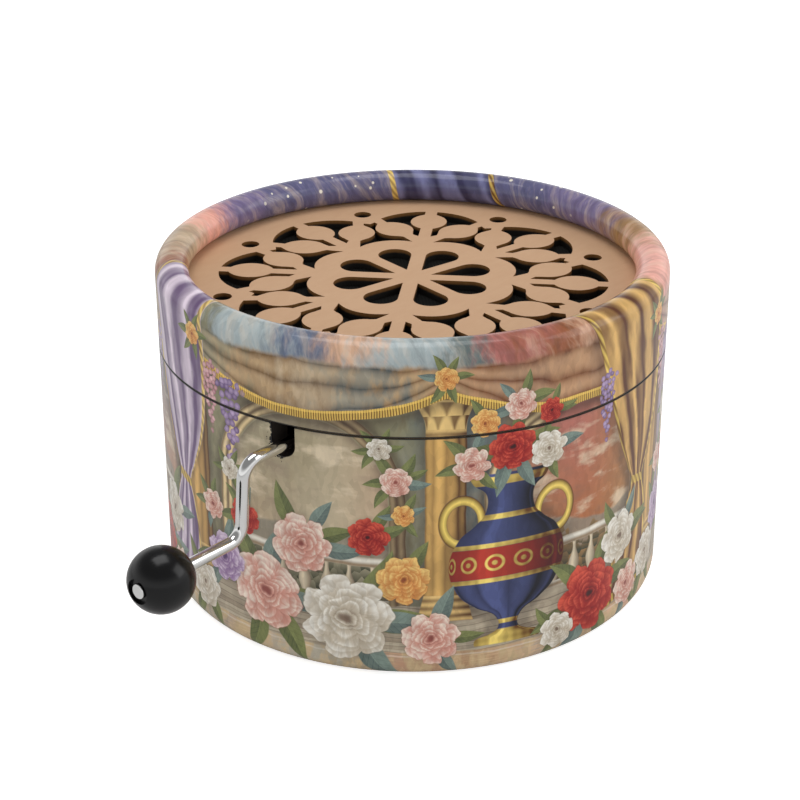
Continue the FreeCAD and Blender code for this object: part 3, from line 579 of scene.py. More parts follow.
def urn(x, y, tint, _):
    """A tall two-handled garden urn: lobed bowl, a banded belt with gold rings, and gold mouldings."""
    half = outline(y * 0.5 + 0.5, [
        (0.0, 0.36), (0.04, 0.37), (0.07, 0.22), (0.12, 0.11), (0.17, 0.14), (0.24, 0.36), (0.34, 0.56),
        (0.48, 0.64), (0.62, 0.56), (0.72, 0.36), (0.78, 0.27), (0.87, 0.26), (0.94, 0.4), (1.0, 0.46)])
    body = x.within(half, 0.012) * y.between(-0.985, 0.985, 0.012)
    share = (x / half).held(0.995)
    turn = share.do("ARCSINE")
    light = 1.0 - abs(share + 0.32) * 0.95
    glint = (share + 0.42).within(0.16, 0.14) * 0.55 + (share - 0.84).within(0.08, 0.08) * 0.25
    lobes = abs(turn.wave(5.0))
    bowl = y.between(-0.7, -0.24, 0.02)
    tone = (light * 0.8 + lobes * bowl * 0.45 - bowl * 0.2 + glint).clamped()
    dark = tints(tint, (14, 15, 30), (40, 10, 14), (24, 52, 54))
    bright = tints(tint, (76, 86, 136), (176, 60, 44), (132, 168, 158))
    glaze = mix(tone, dark, bright)
    belt = y.between(-0.2, 0.16, 0.012)
    sash_dark = tints(tint, (74, 10, 12), (16, 20, 52), (112, 70, 24))
    sash_light = tints(tint, (192, 58, 42), (86, 106, 170), (240, 204, 120))
    glaze = mix(belt, glaze, mix((light * 0.85 + glint).clamped(), sash_dark, sash_light))
    column = (turn * 2.0).do("FRACT") - 0.5
    row = (y + 0.02) / 0.27
    ring_reach = distance(column, row)
    rings = (ring_reach - 0.3).within(0.07, 0.04) + ring_reach.within(0.12, 0.05)
    edges = (abs(y + 0.02) - 0.2).within(0.03, 0.01) + (y - 0.5).within(0.035, 0.01)
    edges = edges + (y - 0.9).within(0.05, 0.01)
    foot = (-0.8 - y).rising(0.0, 0.02) + (y + 0.72).within(0.03, 0.01)
    gilt = (rings * belt + edges + foot).clamped()
    gold_tone = ((light * 0.75 + glint * 1.4) + (x.wave(60.0) + y.wave(70.0)) * 0.06).clamped()
    glaze = mix(gilt, glaze, mix(gold_tone, rgb(94, 56, 14), rgb(250, 222, 118)))
    handle_x = abs(x) - 0.5
    handle_y = (y - 0.47) * 0.8
    handle_reach = distance(handle_x, handle_y)
    handle = (handle_reach - 0.2).within(0.05, 0.012) * (1.0 - body)
    handle_tone = (1.0 - abs(handle_reach - 0.19) / 0.05).clamped()
    handle_gold = mix(handle_tone, rgb(96, 60, 16), rgb(248, 218, 112))
    colour = mix(handle, glaze, handle_gold)
    mask = (body + handle).clamped()
    around = abs(x) / (half + 0.16)
    return colour, mask, (1.0 - around.rising(0.75, 1.1)) * y.between(-1.1, 0.9, 0.25)


def drape(x, y, tint, chance):
    """A curtain tied at the middle of its height by a gold cord, with a fringed hem."""
    half = outline(y * 0.5 + 0.5, [(0.0, 0.27), (0.1, 0.26), (0.25, 0.22), (0.38, 0.14), (0.45, 0.09),
                                   (0.52, 0.15), (0.66, 0.28), (0.82, 0.36), (1.0, 0.42)])
    side = x + (y - 0.1) * (y - 0.1) * 0.12
    hem = (side * 40.0).wave() * 0.008 - 0.96
    inside = side.within(half, 0.01) * y.past(hem, 0.012)
    share = side / half
    wander = noise((share * 1.5, y * 1.2, chance * 9), 1.6, 2)
    folds = (share * 11.0 + wander * 7.0).wave() * 0.5 + 0.5
    fine = (share * 27.0 + wander * 9.0 + y * 3.0).wave() * 0.12
    tone = ((folds ** 1.4) * 0.85 + fine + 0.1 - abs(share) * 0.15).clamped()
    dark = tints(tint, (92, 50, 24), (52, 50, 84), (104, 80, 118))
    light = tints(tint, (226, 182, 110), (120, 122, 164), (228, 212, 226))
    cloth = mix(tone, dark, light)
    tie = (y + 0.1 + share * 0.02).within(0.035, 0.008)
    edging = (abs(share) - 0.93).within(0.06, 0.02)
    fringe = (hem + 0.085 - y).rising(0.0, 0.012)
    twist = (side * 130.0 + y * 60.0).wave() * 0.5 + 0.5
    gold = mix(twist * 0.6 + tone * 0.4, rgb(104, 64, 18), rgb(248, 214, 106))
    colour = mix((tie + edging * 0.9 + fringe).clamped(), cloth, gold)
    around = abs(side + 0.03) / (half + 0.06)
    return colour, inside, (1.0 - around.rising(0.8, 1.15)) * y.between(-1.0, 1.2, 0.1)


# ---- the print's hall
def paint_garden(s, t, stroke):
    """What the openings show: a low warm sky with clouds, far hills, trees and a stone balustrade."""
    drift = noise((s / 7.0, t / 3.2, 5.0), 1.0, 5, 0.55)
    high = ((t - 16.0) / 24.0 + (drift - 0.5) * 0.5).clamped()
    sky = mix(high, along_strip(s, SKY_STOPS), along_strip(s, ZENITH_STOPS))
    sky = mix(drift.rising(0.5, 0.68) * 0.65, sky, rgb(232, 214, 184))
    sky = mix((1.0 - drift).rising(0.52, 0.7) * 0.3, sky, rgb(120, 100, 92))
    ridge = noise((s / 12.0, 4.0), 1.0, 2) * 9.0 + 17.0
    hills = mix(stroke, rgb(112, 110, 100), rgb(158, 148, 128))
    sky = mix((ridge - t).rising(0.0, 0.6) * 0.8, sky, hills)
    dabs = cells(s * 1.25, t * 1.05, 0.8)
    dab_tone = channels(dabs["Color"])[0]
    dab_lift = t - parts(dabs["Position"])[1] / 1.05
    crown = noise((s / 6.0, 8.0), 1.0, 2, 0.5) * 18.0 + 9.5 + (dab_tone - 0.5) * 2.4
    leaf_tone = (dab_tone * 0.55 + dab_lift * 0.4 + stroke * 0.3).clamped()
    foliage = mix(leaf_tone, rgb(50, 56, 36), along_strip(s, LEAF_STOPS))
    garden = mix((crown - t).rising(0.0, 0.6) * 0.94, sky, foliage)
    rail_local = s.repeated(BAY / 12, COLUMN_START)
    baluster = 0.66 + (t - 12.6).wave(1.15) * 0.32
    shade = 1.0 - abs(rail_local / baluster + 0.3) * 0.7
    post = rail_local.within(baluster, 0.12) * t.between(11.6, 17.4, 0.1)
    rail = (t.between(*TOP_RAIL, 0.1) + t.between(*LOW_RAIL, 0.1)).clamped()
    stone = mix(shade.clamped(), rgb(104, 84, 64), rgb(228, 212, 182))
    garden = mix(post, garden, stone)
    return mix(rail, garden, mix(t.wave(4.2) * 0.5 + 0.5, rgb(150, 128, 100), IVORY))


def paint_wall(s, t, stroke):
    """The hall's wall, with arched openings onto the garden."""
    canvas = along_strip(s + (stroke - 0.5) * 14.0, WALL_STOPS)
    glow = t.between(8.0, 40.0, 14.0)
    canvas = mix(glow * stroke.rising(0.35, 0.7) * 0.3, canvas, CREAM)
    canvas = mix((1.0 - stroke).rising(0.5, 0.75) * 0.3, canvas, BROWN)
    bay = from_bay_middle(s)
    rise = (t - ARCH_SPRING).positive()
    reach = distance(bay, rise)
    inside = ((ARCH_RADIUS - reach) / 0.2).clamped()
    canvas = mix(inside, canvas, paint_garden(s, t, stroke))
    canvas = mix((reach - 10.4).rising(0.0, 1.7) * inside * 0.5, canvas, UMBER)
    lines = (reach - 12.2).wave(5.4) * 0.5 + 0.5
    facing = 0.75 - bay * 0.035
    stone = mix((lines * 0.75 + stroke * 0.3) * facing, rgb(76, 54, 38), rgb(232, 206, 156))
    canvas = mix(reach.between(12.0, 14.4, 0.15), canvas, stone)
    return mix((reach - 14.4).between(-0.1, 1.3, 0.1) * (15.7 - reach).clamped() * 0.5, canvas, UMBER)


def paint_columns(s, t, canvas):
    """Fluted columns between the openings, each with a stepped base and a leafy capital."""
    across = s.repeated(BAY, COLUMN_START)
    flare = (t - CAPITAL[0]).positive() ** 1.5 * 0.16 + (13.0 - t).positive() * 0.26
    half = flare + SHAFT_HALF + (30.0 - t) * 0.008
    soft_shade = (abs(across) - half).rising(0.0, 1.8)
    height = t.between(*COLUMN, 0.2)
    canvas = mix((1.0 - soft_shade) * height * 0.45, canvas, UMBER)
    inside = across.within(half, 0.15) * height
    share = (across / half).held(0.999)
    turn = share.do("ARCSINE")
    flute = abs(turn.wave(5.0))
    light = 1.0 - abs(share + 0.35) * 0.8
    tone = (light * 0.85 + flute * 0.4 - 0.2).clamped()
    stone = mix(tone, rgb(84, 52, 26), rgb(226, 180, 104))
    leafage = abs((turn * 4.0 + (t * 0.5).do("FLOOR") * 1.57).do("SINE"))
    cup = (leafage * 1.1 - ((t * 0.5).do("FRACT") * 0.9)).rising(-0.3, 0.5)
    cut = mix((cup * 0.7 + light * 0.35).clamped(), rgb(88, 54, 24), rgb(240, 204, 132))
    stone = mix(t.between(*CAPITAL, 0.1), stone, cut)
    step_tone = ((t.wave(5.0) * 0.5 + 0.5) * 0.6 + light * 0.4).clamped()
    steps = mix(step_tone, rgb(88, 56, 28), rgb(236, 198, 128))
    stone = mix(1.0 - t.between(13.0, 37.2, 0.1) - t.between(*CAPITAL, 0.1), stone, steps)
    return mix(inside, canvas, stone)


def paint_floor(s, t, canvas, stroke):
    """Floor boards, narrower towards the back, behind an ochre step."""
    bay = from_bay_middle(s) / (BAY / 2)
    depth = 34.0 / (t + bay * bay * 0.8 + 3.0)
    row = depth * 3.4
    tone = per_item(row)
    lane = row.do("FRACT")
    grain = noise((s / 7.0, row * 3.0, 2.0), 1.0, 4, 0.65)
    boards = mix((tone * 0.5 + grain * 0.7 - 0.1).clamped(), rgb(122, 104, 84), rgb(206, 194, 170))
    boards = mix((1.0 - lane.between(0.0, 1.0, 0.1)) * 0.6, boards, rgb(74, 56, 42))
    edge = t + (stroke - 0.5) * 0.5
    canvas = mix((FLOOR_TOP - edge).rising(0.0, 0.3), canvas, boards)
    gloom = (FLOOR_TOP - edge).rising(0.0, 3.0) * (edge - 7.5).rising(0.0, 4.0)
    canvas = mix(gloom * 0.4, canvas, UMBER)
    step = (STEP_TOP - edge).rising(0.0, 0.25)
    face = mix(grain, rgb(182, 150, 108), rgb(228, 206, 164))
    face = mix(stroke.rising(0.4, 0.6) * 0.5, face, along_strip(s + grain * 30.0, RIM_STOPS))
    face = mix((edge - 3.3).within(0.2, 0.2) * 0.45, face, IVORY)
    return mix(step * 0.92, canvas, face)


def paint_swags(s, t, canvas, stroke):
    """Cloth hung in swags between the columns' heads, with a gold fringe along its lower edge."""
    bay = from_bay_middle(s) / (BAY / 2)
    sag = 1.0 - bay * bay
    lower = SWAG_TOP - sag * SWAG_DROP
    cloth = t.past(lower, 0.12)
    fold = (47.4 - t) / (sag * 6.8 + 2.6)
    swell = noise((s / 14.0, fold * 1.4), 1.0, 2)
    ripple = abs((fold * 9.0 + swell * 4.5).do("SINE"))
    tone = (ripple ** 0.85) * 0.8 + 0.03 + (stroke - 0.5) * 1.1
    base = along_strip(s + (stroke - 0.5) * 30.0, SWAG_STOPS)
    dark = mix(0.56, base, rgb(42, 26, 22))
    light = mix(0.36, base, rgb(238, 214, 176))
    canvas = mix((t - lower).between(-3.6, 0.2, 1.8) * 0.55, canvas, UMBER)
    canvas = mix(cloth, canvas, mix(tone.clamped(), dark, light))
    fringe = (t - lower).between(-1.3, 0.15, 0.1)
    threads = (s / 0.36).do("FRACT").rising(0.15, 0.55)
    braid = (t - lower + 0.1).within(0.22, 0.08)
    gold = mix((threads * 0.8 + braid * 0.6).clamped(), rgb(92, 56, 18), rgb(240, 200, 100))
    return mix(fringe, canvas, gold)


def paint_rim(s, t, canvas):
    """Loose brushwork carried over the rim, with small stars on its dusky side."""
    brush = noise((s / 4.2, t / 11.0), 1.0, 5, 0.6)
    swirl = noise((s / 6.0, t / 6.0, 9.0), 1.0, 2)
    base = along_strip(s + (brush - 0.5) * 26.0, RIM_STOPS)
    across = s + t * 0.5 + swirl * 4.0
    fine = noise((across / 1.9, (t - s * 0.3) / 13.0, 3.0), 1.0, 5, 0.62)
    base = mix(fine.rising(0.46, 0.66) * 0.6, base, mix(0.45, base, rgb(236, 214, 186)))
    base = mix((1.0 - fine).rising(0.48, 0.68) * 0.5, base, mix(0.6, base, UMBER))
    canvas = mix((t + (brush - 0.5) * 3.0).rising(*RIM_START), canvas, base)
    sky = cells(s, t, 0.24)
    size = channels(sky["Color"])[0] * 0.05 + 0.015
    star = 1.0 - (Field(sky["Distance"]) - size).rising(0.0, 0.03)
    dusky = abs(s).rising(80.0, 92.0) * (t - 46.0).rising(0.0, 3.0)
    return mix(star * dusky, canvas, IVORY)


MOTIF_LAYERS = [("drape", motif_group(drape), 1), ("urn", motif_group(urn), 1),
                ("raceme", motif_group(raceme), 2), ("leaf", motif_group(leaf), 3),
                ("bloom", motif_group(bloom), 3)]


def paint_motif(canvas, group, layer):
    """One layer of motifs laid over the canvas, with a soft shade under those that cast one.

    A trace of the canvas in the place has no effect but on the order in which the layers are worked
    out: one after the other, which the renderer's small stack needs.
    """
    place = add("ShaderNodeAttribute", {"attribute_name": layer}, canvas.id_data).outputs["Vector"]
    trace = (1e-9, 1e-9, 1e-9)
    place = add("ShaderNodeVectorMath", {"operation": "MULTIPLY_ADD"}, _0=canvas, _1=trace, _2=place)
    drawn = use_group(group, Place=place.outputs[0])
    if "Halo" in drawn:
        canvas = mix(Field(drawn["Halo"]) * 0.4, canvas, rgb(40, 28, 24))
    return mix(drawn["Mask"], canvas, drawn["Color"])


def paint_seam_and_slot_shade(s, t):
    """Painted shade on the print: a dark line along the seam between base and lid, and near black round the
    crank's slot, reaching out raggedly on one side.
    """
    seam_t = (wrap_high.z + lid_low.z) / 2 / MM
    # Painted shade of the gap between base and lid.
    seam = (t - seam_t).within(0.26, 0.08)
    slot_turn = math.atan2(-math.sqrt(box_radius ** 2 - slot_place.x ** 2), slot_place.x)
    slot_s = (slot_turn - front_turn) * box_radius / MM
    # Painted shade round the crank's slot, reaching out raggedly on one side.
    ragged = noise((s, t, 6.0), 1.1, 4, 0.7)
    ragged_spread = (ragged - 0.42).positive() * (slot_s + 0.4 - s).rising(0.0, 0.8) * 4.0
    wide = slot_width / 2 / MM + 0.1 + ragged_spread
    aside = abs(s - slot_s)
    below = (slot_place.z / MM - t).positive()
    reach = distance(aside, below)
    slot_print_shade = wide.past(reach, 0.1) * (seam_t - t).rising(0.0, 0.01)
    return (seam * 0.94 + slot_print_shade).clamped()


def print_finish():
    """Printed, satin-laminated paper: a painted hall with flowers, and bare paper at its cut edges."""
    material, tree = new_material("printed_paper", Roughness=0.45, Specular_IOR_Level=0.15,
                                  Coat_Weight=0.55, Coat_Roughness=0.1)
    strip = add("ShaderNodeAttribute", {"attribute_name": "strip"}, tree).outputs["Vector"]
    s, t, depth = parts(strip)
    sway = add("ShaderNodeTexNoise", Vector=joined(s, t), Scale=0.22, Detail=1.0)
    shift = channels(sway.outputs["Color"])
    hand_s = s + (shift[0] - 0.5) * 0.6
    hand_t = t + (shift[1] - 0.5) * 0.6
    stroke = noise((s / 2.2, t / 5.0), 1.0, 5, 0.6)
    canvas = paint_wall(hand_s, hand_t, stroke)
    canvas = paint_floor(hand_s, hand_t, canvas, stroke)
    canvas = paint_columns(hand_s, hand_t, canvas)
    canvas = paint_swags(hand_s, hand_t, canvas, stroke)
    canvas = paint_rim(s, t, canvas)
    for name, group, layers in MOTIF_LAYERS:
        for layer in range(layers):
            canvas = paint_motif(canvas, group, f"{name}_{layer}")
    dabs = channels(cells(hand_s * 1.6, hand_t * 0.7, 1.0)["Color"])[0]
    canvas = mix(1.0, canvas, dabs * 0.18 + 0.91, "MULTIPLY")
    canvas = mix(depth.rising(0.1, 0.3), canvas, rgb(226, 222, 212))
    # Painted shade: near black along the seam between base and lid and round the crank's slot.
    darkened = paint_seam_and_slot_shade(s, t)
    canvas = mix(darkened, canvas, SHADE_BLACK)
    return dress(material, canvas, noise(object_coords(tree), 300), 0.00001)


# ---- where the motifs go
def hand_placed():
    """The motifs of one third of the print: layer kind, s, t, radius, turn in degrees and tint."""
    blooms = [(-21.5, 10.5, 6.6, 0), (-9.2, 9.0, 7.6, 4), (-15.6, 19.4, 5.2, 0), (27.4, 7.6, 6.4, 1),
              (-1.2, 15.4, 4.2, 3), (2.6, 6.2, 4.6, 0), (34.0, 14.4, 4.6, 4), (-29.4, 13.0, 4.4, 2),
              (-34.6, 6.6, 4.2, 4), (13.6, 34.6, 3.9, 1), (21.6, 4.0, 3.2, 4), (36.6, 5.6, 3.8, 0),
              (-6.0, 21.8, 3.3, 1), (-25.0, 21.0, 3.0, 1), (-31.6, 20.6, 2.6, 0), (8.0, 32.6, 2.9, 0),
              (19.2, 33.2, 3.1, 4), (14.8, 40.6, 2.6, 0), (9.8, 38.6, 2.3, 3), (19.4, 38.8, 2.1, 1),
              (-2.2, 30.4, 2.5, 0), (-4.4, 35.2, 1.9, 4), (-1.2, 25.4, 1.8, 3), (-27.6, 27.6, 1.9, 4),
              (COLUMN_START, 45.4, 1.9, 3), (COLUMN_START + BAY, 45.4, 1.9, 3)]
    for s, t, radius, tint in blooms:
        yield "bloom", s, t, radius, 0, tint
    for s, top, length, tint in [(-27.0, 42, 8, 0), (-31.0, 43, 6, 1), (29.6, 42, 6, 0)]:
        yield "raceme", s, top - length, length, -90, tint
    yield "urn", 13.6, 17.6, 13.6, 0, 0
    for s, turn in [(5.0, 160), (22.6, 20), (12.0, 118), (17.4, 62)]:
        yield "leaf", s, 37.0, 5.4, turn, 1
    yield "drape", 38.6, 24.0, 21.0, 0, 0


def all_motifs():
    """Every motif of the print, with the leaves that stand out from behind the flowers."""
    chance = random.Random(7)
    third = STRIP_LENGTH / 3
    for repeat in (0, 1, -1):
        for kind, s, t, radius, turn, tint in hand_placed():
            if repeat:
                s, t = s + chance.uniform(-1, 1), t + chance.uniform(-1, 1)
            if kind in ("drape", "urn"):
                tint = repeat % 3
            yield kind, s + repeat * third, t, radius, turn, tint
            if kind != "bloom":
                continue
            for lean in range(10, 360, 58):
                lean += chance.uniform(-14, 14)
                out = radius * chance.uniform(0.95, 1.2)
                length = radius * chance.uniform(0.5, 0.75) + 0.6
                leaf_s = s + repeat * third + out * math.cos(math.radians(lean))
                leaf_t = t + out * math.sin(math.radians(lean))
                yield "leaf", leaf_s, leaf_t, length, lean, chance.choice((0, 0, 2))


def layered(kind, layers):
    """A kind's motifs in layers whose own motifs don't meet. What fits nowhere is left out."""
    filled = [[] for _ in range(layers)]
    for name, *motif in all_motifs():
        if name != kind:
            continue
        for layer in filled:
            gaps = []
            for other in layer:
                aside = abs(motif[0] - other[0]) % STRIP_LENGTH
                aside = min(aside, STRIP_LENGTH - aside)
                gaps.append(math.hypot(aside, motif[1] - other[1]) - motif[2] - other[2])
            if min(gaps, default=1) > 0:
                layer.append(motif)
                break
    return filled


# ---- the printed skins
SKIN_COLUMNS = 480                      # faces round the box
SKIN_STEP = 0.5 * MM                    # height of a face on the outside
SLOT_STEPS = 32                         # along the slot's round bottom
OUTER_SHARE, INNER_SHARE = 0.94, 0.05   # of the baking map's height
INNER_START = 0.95


def new_object(name, data):
    thing = bpy.data.objects.new(name, data)
    bpy.context.scene.collection.objects.link(thing)
    return thing


def mesh_object(name, shape):
    """An object made of a bmesh, which is used up."""
    mesh = bpy.data.meshes.new(name)
    shape.to_mesh(mesh)
    shape.free()
    return new_object(name, mesh)


def skin_profile(edge_z, ring_z, up, end_turn, radius, curl, step):
    """Points of a skin's section, from its free edge along the wall and round the curl."""
    wall = max(2, round(abs(ring_z - edge_z) / step))
    points = [(radius, edge_z + (ring_z - edge_z) * share / wall) for share in range(wall)]
    turns = max(3, round(curl * end_turn / step))
    for share in range(turns + 1):
        turn = end_turn * share / turns
        points.append((curl_ring + curl * math.cos(turn), ring_z + up * curl * math.sin(turn)))
    return points


def within_half_turn(angle):
    """Angles brought to between minus and plus half a turn."""
    return (angle + math.pi) % (2 * math.pi) - math.pi


def strip_places(mesh, ring_z, up):
    """Each face corner's place on the print's strip in mm, and its depth in the paper from 0 to 1."""
    vertex = np.empty(len(mesh.loops), dtype=np.int32)
    mesh.loops.foreach_get("vertex_index", vertex)
    where = np.empty(len(mesh.vertices) * 3)
    mesh.vertices.foreach_get("co", where)
    x, y, z = where.reshape(-1, 3).T
    radius = np.hypot(x, y)
    rise = up * (z - ring_z)
    curled = (rise > 0) | (radius < curl_ring)
    turn = np.arctan2(rise, radius - curl_ring)
    turn = np.where(turn < -1e-6, turn + 2 * math.pi, turn)
    t = np.where(curled, ring_z + up * curl_outside * turn, z) / MM
    out = np.where(curled, np.hypot(radius - curl_ring, rise) - curl_outside, radius - box_radius)
    depth = np.clip(-out / (box_radius - tube_radius), 0, 1)
    total = np.empty(len(mesh.polygons), dtype=np.int32)
    mesh.polygons.foreach_get("loop_total", total)
    face = np.repeat(np.arange(len(total)), total)
    heading = np.arctan2(y, x)[vertex]
    first = np.concatenate([[0], np.cumsum(total)[:-1]])
    lead = heading[first][face]
    heading = lead + within_half_turn(heading - lead)
    middle = np.bincount(face, heading) / total
    wrapped = within_half_turn(middle - front_turn)
    s = (heading - middle[face] + wrapped[face]) * box_radius / MM
    return np.stack([s, t[vertex], depth[vertex]], 1), face, total


def keep_vectors(mesh, name, vectors):
    layer = mesh.attributes.new(name, "FLOAT_VECTOR", "CORNER")
    layer.data.foreach_set("vector", vectors.astype(np.float32).ravel())


def short_way(aside):
    """Distances along the strip, taken the shorter way round the box."""
    return aside - STRIP_LENGTH * np.round(aside / STRIP_LENGTH)


def lay_motifs(mesh, strip, face, total):
    """Gives each face the place on its nearest motif, for every layer of motifs."""
    chance = random.Random(3)
    centre = np.stack([np.bincount(face, strip[:, axis]) / total for axis in (0, 1)], 1)
    for kind, _, layers in MOTIF_LAYERS:
        for number, motifs in enumerate(layered(kind, layers)):
            spots = np.array([motif[:5] for motif in motifs])
            luck = np.array([chance.uniform(0.02, 0.98) for _ in motifs])
            aside = short_way(centre[:, None, 0] - spots[None, :, 0])
            gap = np.hypot(aside, centre[:, None, 1] - spots[None, :, 1]) / spots[None, :, 2]
            nearest = gap.argmin(1)[face]
            chosen = spots[nearest]
            aside = short_way(strip[:, 0] - chosen[:, 0])
            above = strip[:, 1] - chosen[:, 1]
            cos, sin = np.cos(np.radians(chosen[:, 3])), np.sin(np.radians(chosen[:, 3]))
            along = (aside * cos + above * sin) / chosen[:, 2]
            across = (above * cos - aside * sin) / chosen[:, 2]
            place = np.stack([along, across, chosen[:, 4] + luck[nearest]], 1)
            keep_vectors(mesh, f"{kind}_{number}", place)


def bake_map(mesh, strip, face, total, rows):
    """A map for baking: the strip's outside folded into rows, and its inside in thin rows above."""
    middle = np.bincount(face, strip[:, 0]) / total
    share = np.clip((middle + STRIP_LENGTH / 2) / STRIP_LENGTH, 0, 0.999999)
    row = np.floor(share * rows)[face]
    across = (strip[:, 0] + STRIP_LENGTH / 2) / STRIP_LENGTH * rows - row
    low, high = strip[:, 1].min(), strip[:, 1].max()
    up = (strip[:, 1] - low) / (high - low)
    inner = (np.bincount(face, strip[:, 2]) / total > 0.05)[face]
    outer_v = (row + up * 0.96 + 0.02) * (OUTER_SHARE / rows)
    inner_v = INNER_START + (row + 0.1 + up * 0.7) * INNER_SHARE / rows
    uv = np.stack([0.004 + across * 0.992, np.where(inner, inner_v, outer_v)], 1)
    layer = mesh.uv_layers.new(name="OFBake")
    layer.uv.foreach_set("vector", uv.astype(np.float32).ravel())


def cut_slot(skin):
    """Cuts the crank's round-bottomed slot, open at the wall's upper edge, through a skin."""
    centre_x, _, centre_z = slot_place
    half = slot_width / 2
    shape = bmesh.new()
    bottom = []
    for step in range(SLOT_STEPS + 1):
        turn = math.pi + math.pi * step / SLOT_STEPS
        place = (centre_x + half * math.cos(turn), 0, centre_z + half * math.sin(turn))
        bottom.append(shape.verts.new(place))
    top_z = wrap_high.z + half
    corners = [shape.verts.new((centre_x + side * half, 0, top_z)) for side in (1, -1)]
    end = shape.faces.new(bottom + corners)
    grown = bmesh.ops.extrude_face_region(shape, geom=[end])["geom"]
    moved = [part for part in grown if isinstance(part, bmesh.types.BMVert)]
    bmesh.ops.translate(shape, verts=moved, vec=(0, -2 * box_radius, 0))
    bmesh.ops.recalc_face_normals(shape, faces=shape.faces)
    cutter = mesh_object("slot_cutter", shape)
    cut = skin.modifiers.new("slot", "BOOLEAN")
    cut.operation, cut.solver, cut.object = "DIFFERENCE", "EXACT", cutter
    whole = skin.evaluated_get(bpy.context.evaluated_depsgraph_get())
    skin.data = bpy.data.meshes.new_from_object(whole)
    skin.modifiers.clear()
    bpy.data.objects.remove(cutter)


def printed_skin(name, node, body, edge_z, ring_z, up, end_turn, slotted, rows):
    """A printed paper skin: its section spun round the box's axis, with the crank's slot cut."""
    outer = skin_profile(edge_z, ring_z, up, end_turn, box_radius, curl_outside, SKIN_STEP)
    inner_curl = curl_outside - (box_radius - tube_radius)
    inner = skin_profile(edge_z, ring_z, up, end_turn, tube_radius, inner_curl, 4 * SKIN_STEP)
    shape = bmesh.new()
    points = [shape.verts.new((radius, 0, z)) for radius, z in outer + inner[::-1]]
    edges = [shape.edges.new(pair) for pair in zip(points, points[1:] + points[:1])]
    bmesh.ops.spin(shape, geom=points + edges, cent=ORIGIN, axis=(0, 0, 1), angle=2 * math.pi,
                   steps=SKIN_COLUMNS, use_merge=True)
    bmesh.ops.remove_doubles(shape, verts=shape.verts, dist=1e-7)
    bmesh.ops.recalc_face_normals(shape, faces=shape.faces)
    skin = mesh_object(name, shape)
    if slotted:
        cut_slot(skin)
    mesh = skin.data
    mesh.shade_smooth()
    mesh.set_sharp_from_angle(angle=math.radians(35))
    strip, face, total = strip_places(mesh, ring_z, up)
    keep_vectors(mesh, "strip", strip)
    lay_motifs(mesh, strip, face, total)
    bake_map(mesh, strip, face, total, rows)
    mesh.materials.clear()
    mesh.materials.append(FINISHES["printed_paper"])
    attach(skin, body)
    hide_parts(node)


FINISHES = {
    "printed_paper": print_finish(),
    "tube_board": board_finish("tube_board", rgb(176, 150, 118), rgb(120, 94, 66), 0.6, 0.85, 0.00003),
    "white_board": board_finish("white_board", rgb(224, 220, 208), rgb(176, 168, 150), 0.35, 0.8,
                                0.00002),
    "grille_board": grille_finish(),
    "black_cloth": cloth_finish(),
    "sound_board": wood_finish(),
    "cast_zinc": metal_finish("cast_zinc", (0.52, 0.52, 0.53, 1), 0.42, 0.2, bump=0.00002,
                              edge=(0.75, 0.75, 0.76, 1)),
    "steel": metal_finish("steel", (0.60, 0.60, 0.61, 1), 0.28, 0.12, (1.0, 0.08, 1.0),
                          edge=(0.8, 0.8, 0.8, 1)),
    "chrome_wire": metal_finish("chrome_wire", (0.79, 0.79, 0.78, 1), 0.09, 0.03, bump=0.000001),
    "brass": metal_finish("brass", (0.78, 0.56, 0.24, 1), 0.25, 0.12, (0.1, 1.0, 1.0),
                          edge=(0.9, 0.75, 0.45, 1)),
    "lead": metal_finish("lead", (0.22, 0.22, 0.24, 1), 0.6, 0.2, bump=0.00002),
    "white_plastic": plastic_finish("white_plastic", rgb(232, 229, 218), 0.42, 0.03, 0.000004, 0.5),
    "black_knob": plastic_finish("black_knob", rgb(13, 13, 14), 0.22, 0.12, 0.000002, 0.3),
    "screw_steel": metal_finish("screw_steel", (0.62, 0.62, 0.60, 1), 0.3, 0.1, edge=(0.8, 0.8, 0.8, 1)),
}

for part in frame["record"]["subparts"]:
    NODES[part["node"]].data.materials[0] = FINISHES[part["material_slot"]]
# Painted shade: the neck sleeve, seen through the crank's slot, gets a near-black board finish in place of its
# white board so that the slot looks dark.
SHADED_SLEEVE = board_finish("sleeve_shade_black", rgb(30, 28, 27), rgb(16, 15, 14), 0.5, 0.8, 0.00002)
NODES["neck_sleeve"].data.materials[0] = SHADED_SLEEVE

printed_skin("base_print", "base_wrap", "base", wrap_high.z, foot_curl_z, -1, foot_print_end, True, 2)
printed_skin("lid_print", "lid_wrap", "lid", lid_low.z, rim_curl_z, 1, rim_print_end, False, 3)


# ---- stage
def studio_floor():
    """A wide pale floor. Seen directly it fades to white, and it keeps the object's soft shadow."""
    shape = bmesh.new()
    bmesh.ops.create_grid(shape, x_segments=1, y_segments=1, size=3.0)
    floor = mesh_object("studio_floor", shape)
    material = bpy.data.materials.new("studio_floor")
    material.use_nodes = True
    tree = material.node_tree
    tree.nodes.clear()
    diffuse = add("ShaderNodeBsdfDiffuse", tree=tree, Color=(0.75, 0.75, 0.75, 1))
    glow = add("ShaderNodeEmission", tree=tree, Color=(1, 1, 1, 1), Strength=0.74)
    seen = add("ShaderNodeLightPath", tree=tree).outputs["Is Camera Ray"]
    none = add("ShaderNodeEmission", tree=tree, Color=(0, 0, 0, 1), Strength=0.0)
    glow_seen = add("ShaderNodeMixShader", _0=seen, _1=none.outputs[0], _2=glow.outputs[0])
    both = add("ShaderNodeAddShader", _0=diffuse.outputs[0], _1=glow_seen.outputs[0])
    add("ShaderNodeOutputMaterial", Surface=both.outputs[0])
    floor.data.materials.append(material)


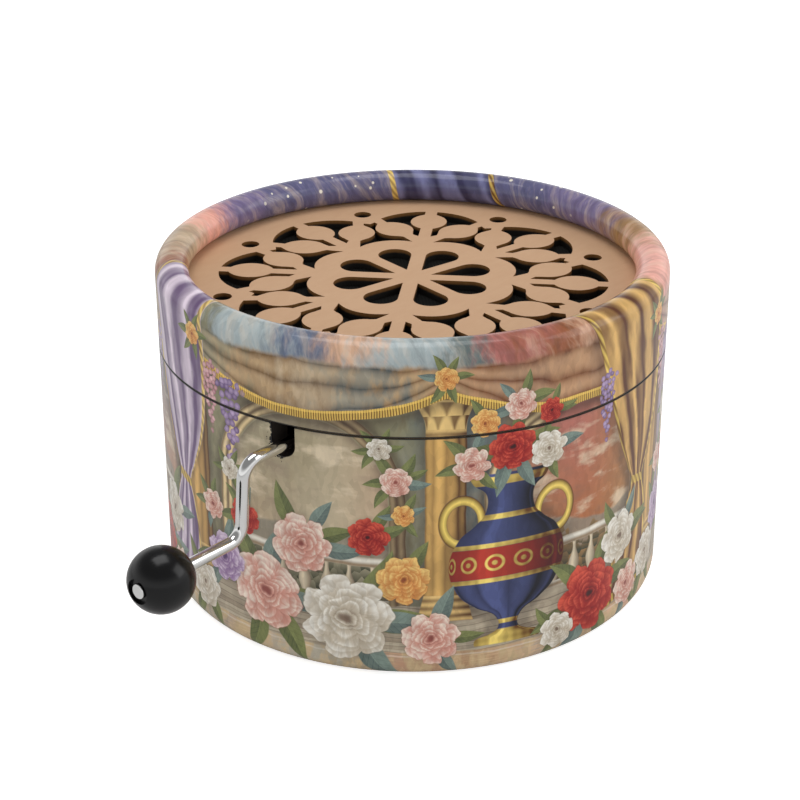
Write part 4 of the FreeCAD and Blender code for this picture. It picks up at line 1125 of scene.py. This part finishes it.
def studio_world():
    """Pale surroundings: white where seen, and a plain soft light that comes mostly from the sides."""
    world = bpy.data.worlds.new("studio")
    world.use_nodes = True
    bpy.context.scene.world = world
    tree = world.node_tree
    tree.nodes.clear()
    light_path = add("ShaderNodeLightPath", tree=tree).outputs
    seen = (Field(light_path["Is Camera Ray"]) + light_path["Is Transmission Ray"]).clamped()
    mirrored = Field(light_path["Is Glossy Ray"]) * (1.0 - seen)
    height = parts(add("ShaderNodeTexCoord", tree=tree).outputs["Generated"])[2]
    backdrop = 1.0 - height.rising(0.15, 0.6) * 0.72
    soft_light = 1.35 - height.rising(0.1, 0.7) * 0.95
    strength = seen + (1.0 - seen) * (soft_light + mirrored * (backdrop - soft_light))
    background = add("ShaderNodeBackground", Color=(1, 1, 1, 1), Strength=strength)
    add("ShaderNodeOutputWorld", Surface=background.outputs[0])


def softbox(name, place, target, width, height, power):
    light = bpy.data.lights.new(name, "AREA")
    light.shape = "RECTANGLE"
    light.size = width
    light.size_y = height
    light.energy = power
    lamp = new_object(name, light)
    lamp.location = place
    lamp.rotation_mode = "QUATERNION"
    lamp.rotation_quaternion = (Vector(target) - Vector(place)).to_track_quat("-Z", "Y")


def view_camera():
    """The camera of the main view: before the crank's side, to its right, a quarter turn down."""
    turn, pitch, roll = math.radians(40.904), math.radians(24.948), math.radians(-0.124)
    camera = bpy.data.cameras.new("view")
    camera.sensor_width = 36.0
    camera.lens = 85.63
    camera.clip_start = 0.01
    camera.clip_end = 20
    holder = new_object("view", camera)
    place = Matrix.Translation((0.16978, -0.19879, 0.14668))
    aim = Matrix.Rotation(turn, 4, "Z") @ Matrix.Rotation(math.pi / 2 - pitch, 4, "X")
    holder.matrix_world = place @ aim @ Matrix.Rotation(roll, 4, "Z")
    bpy.context.scene.camera = holder


studio_floor()
studio_world()
softbox("overhead", (-0.06, 0.02, 0.62), (0, 0, 0.02), 0.42, 0.34, 1.35)
softbox("side", (0.5, 0.35, 0.4), (0, 0, 0.02), 0.4, 0.4, 1.0)
view_camera()
bpy.context.scene.view_settings.view_transform = "Standard"
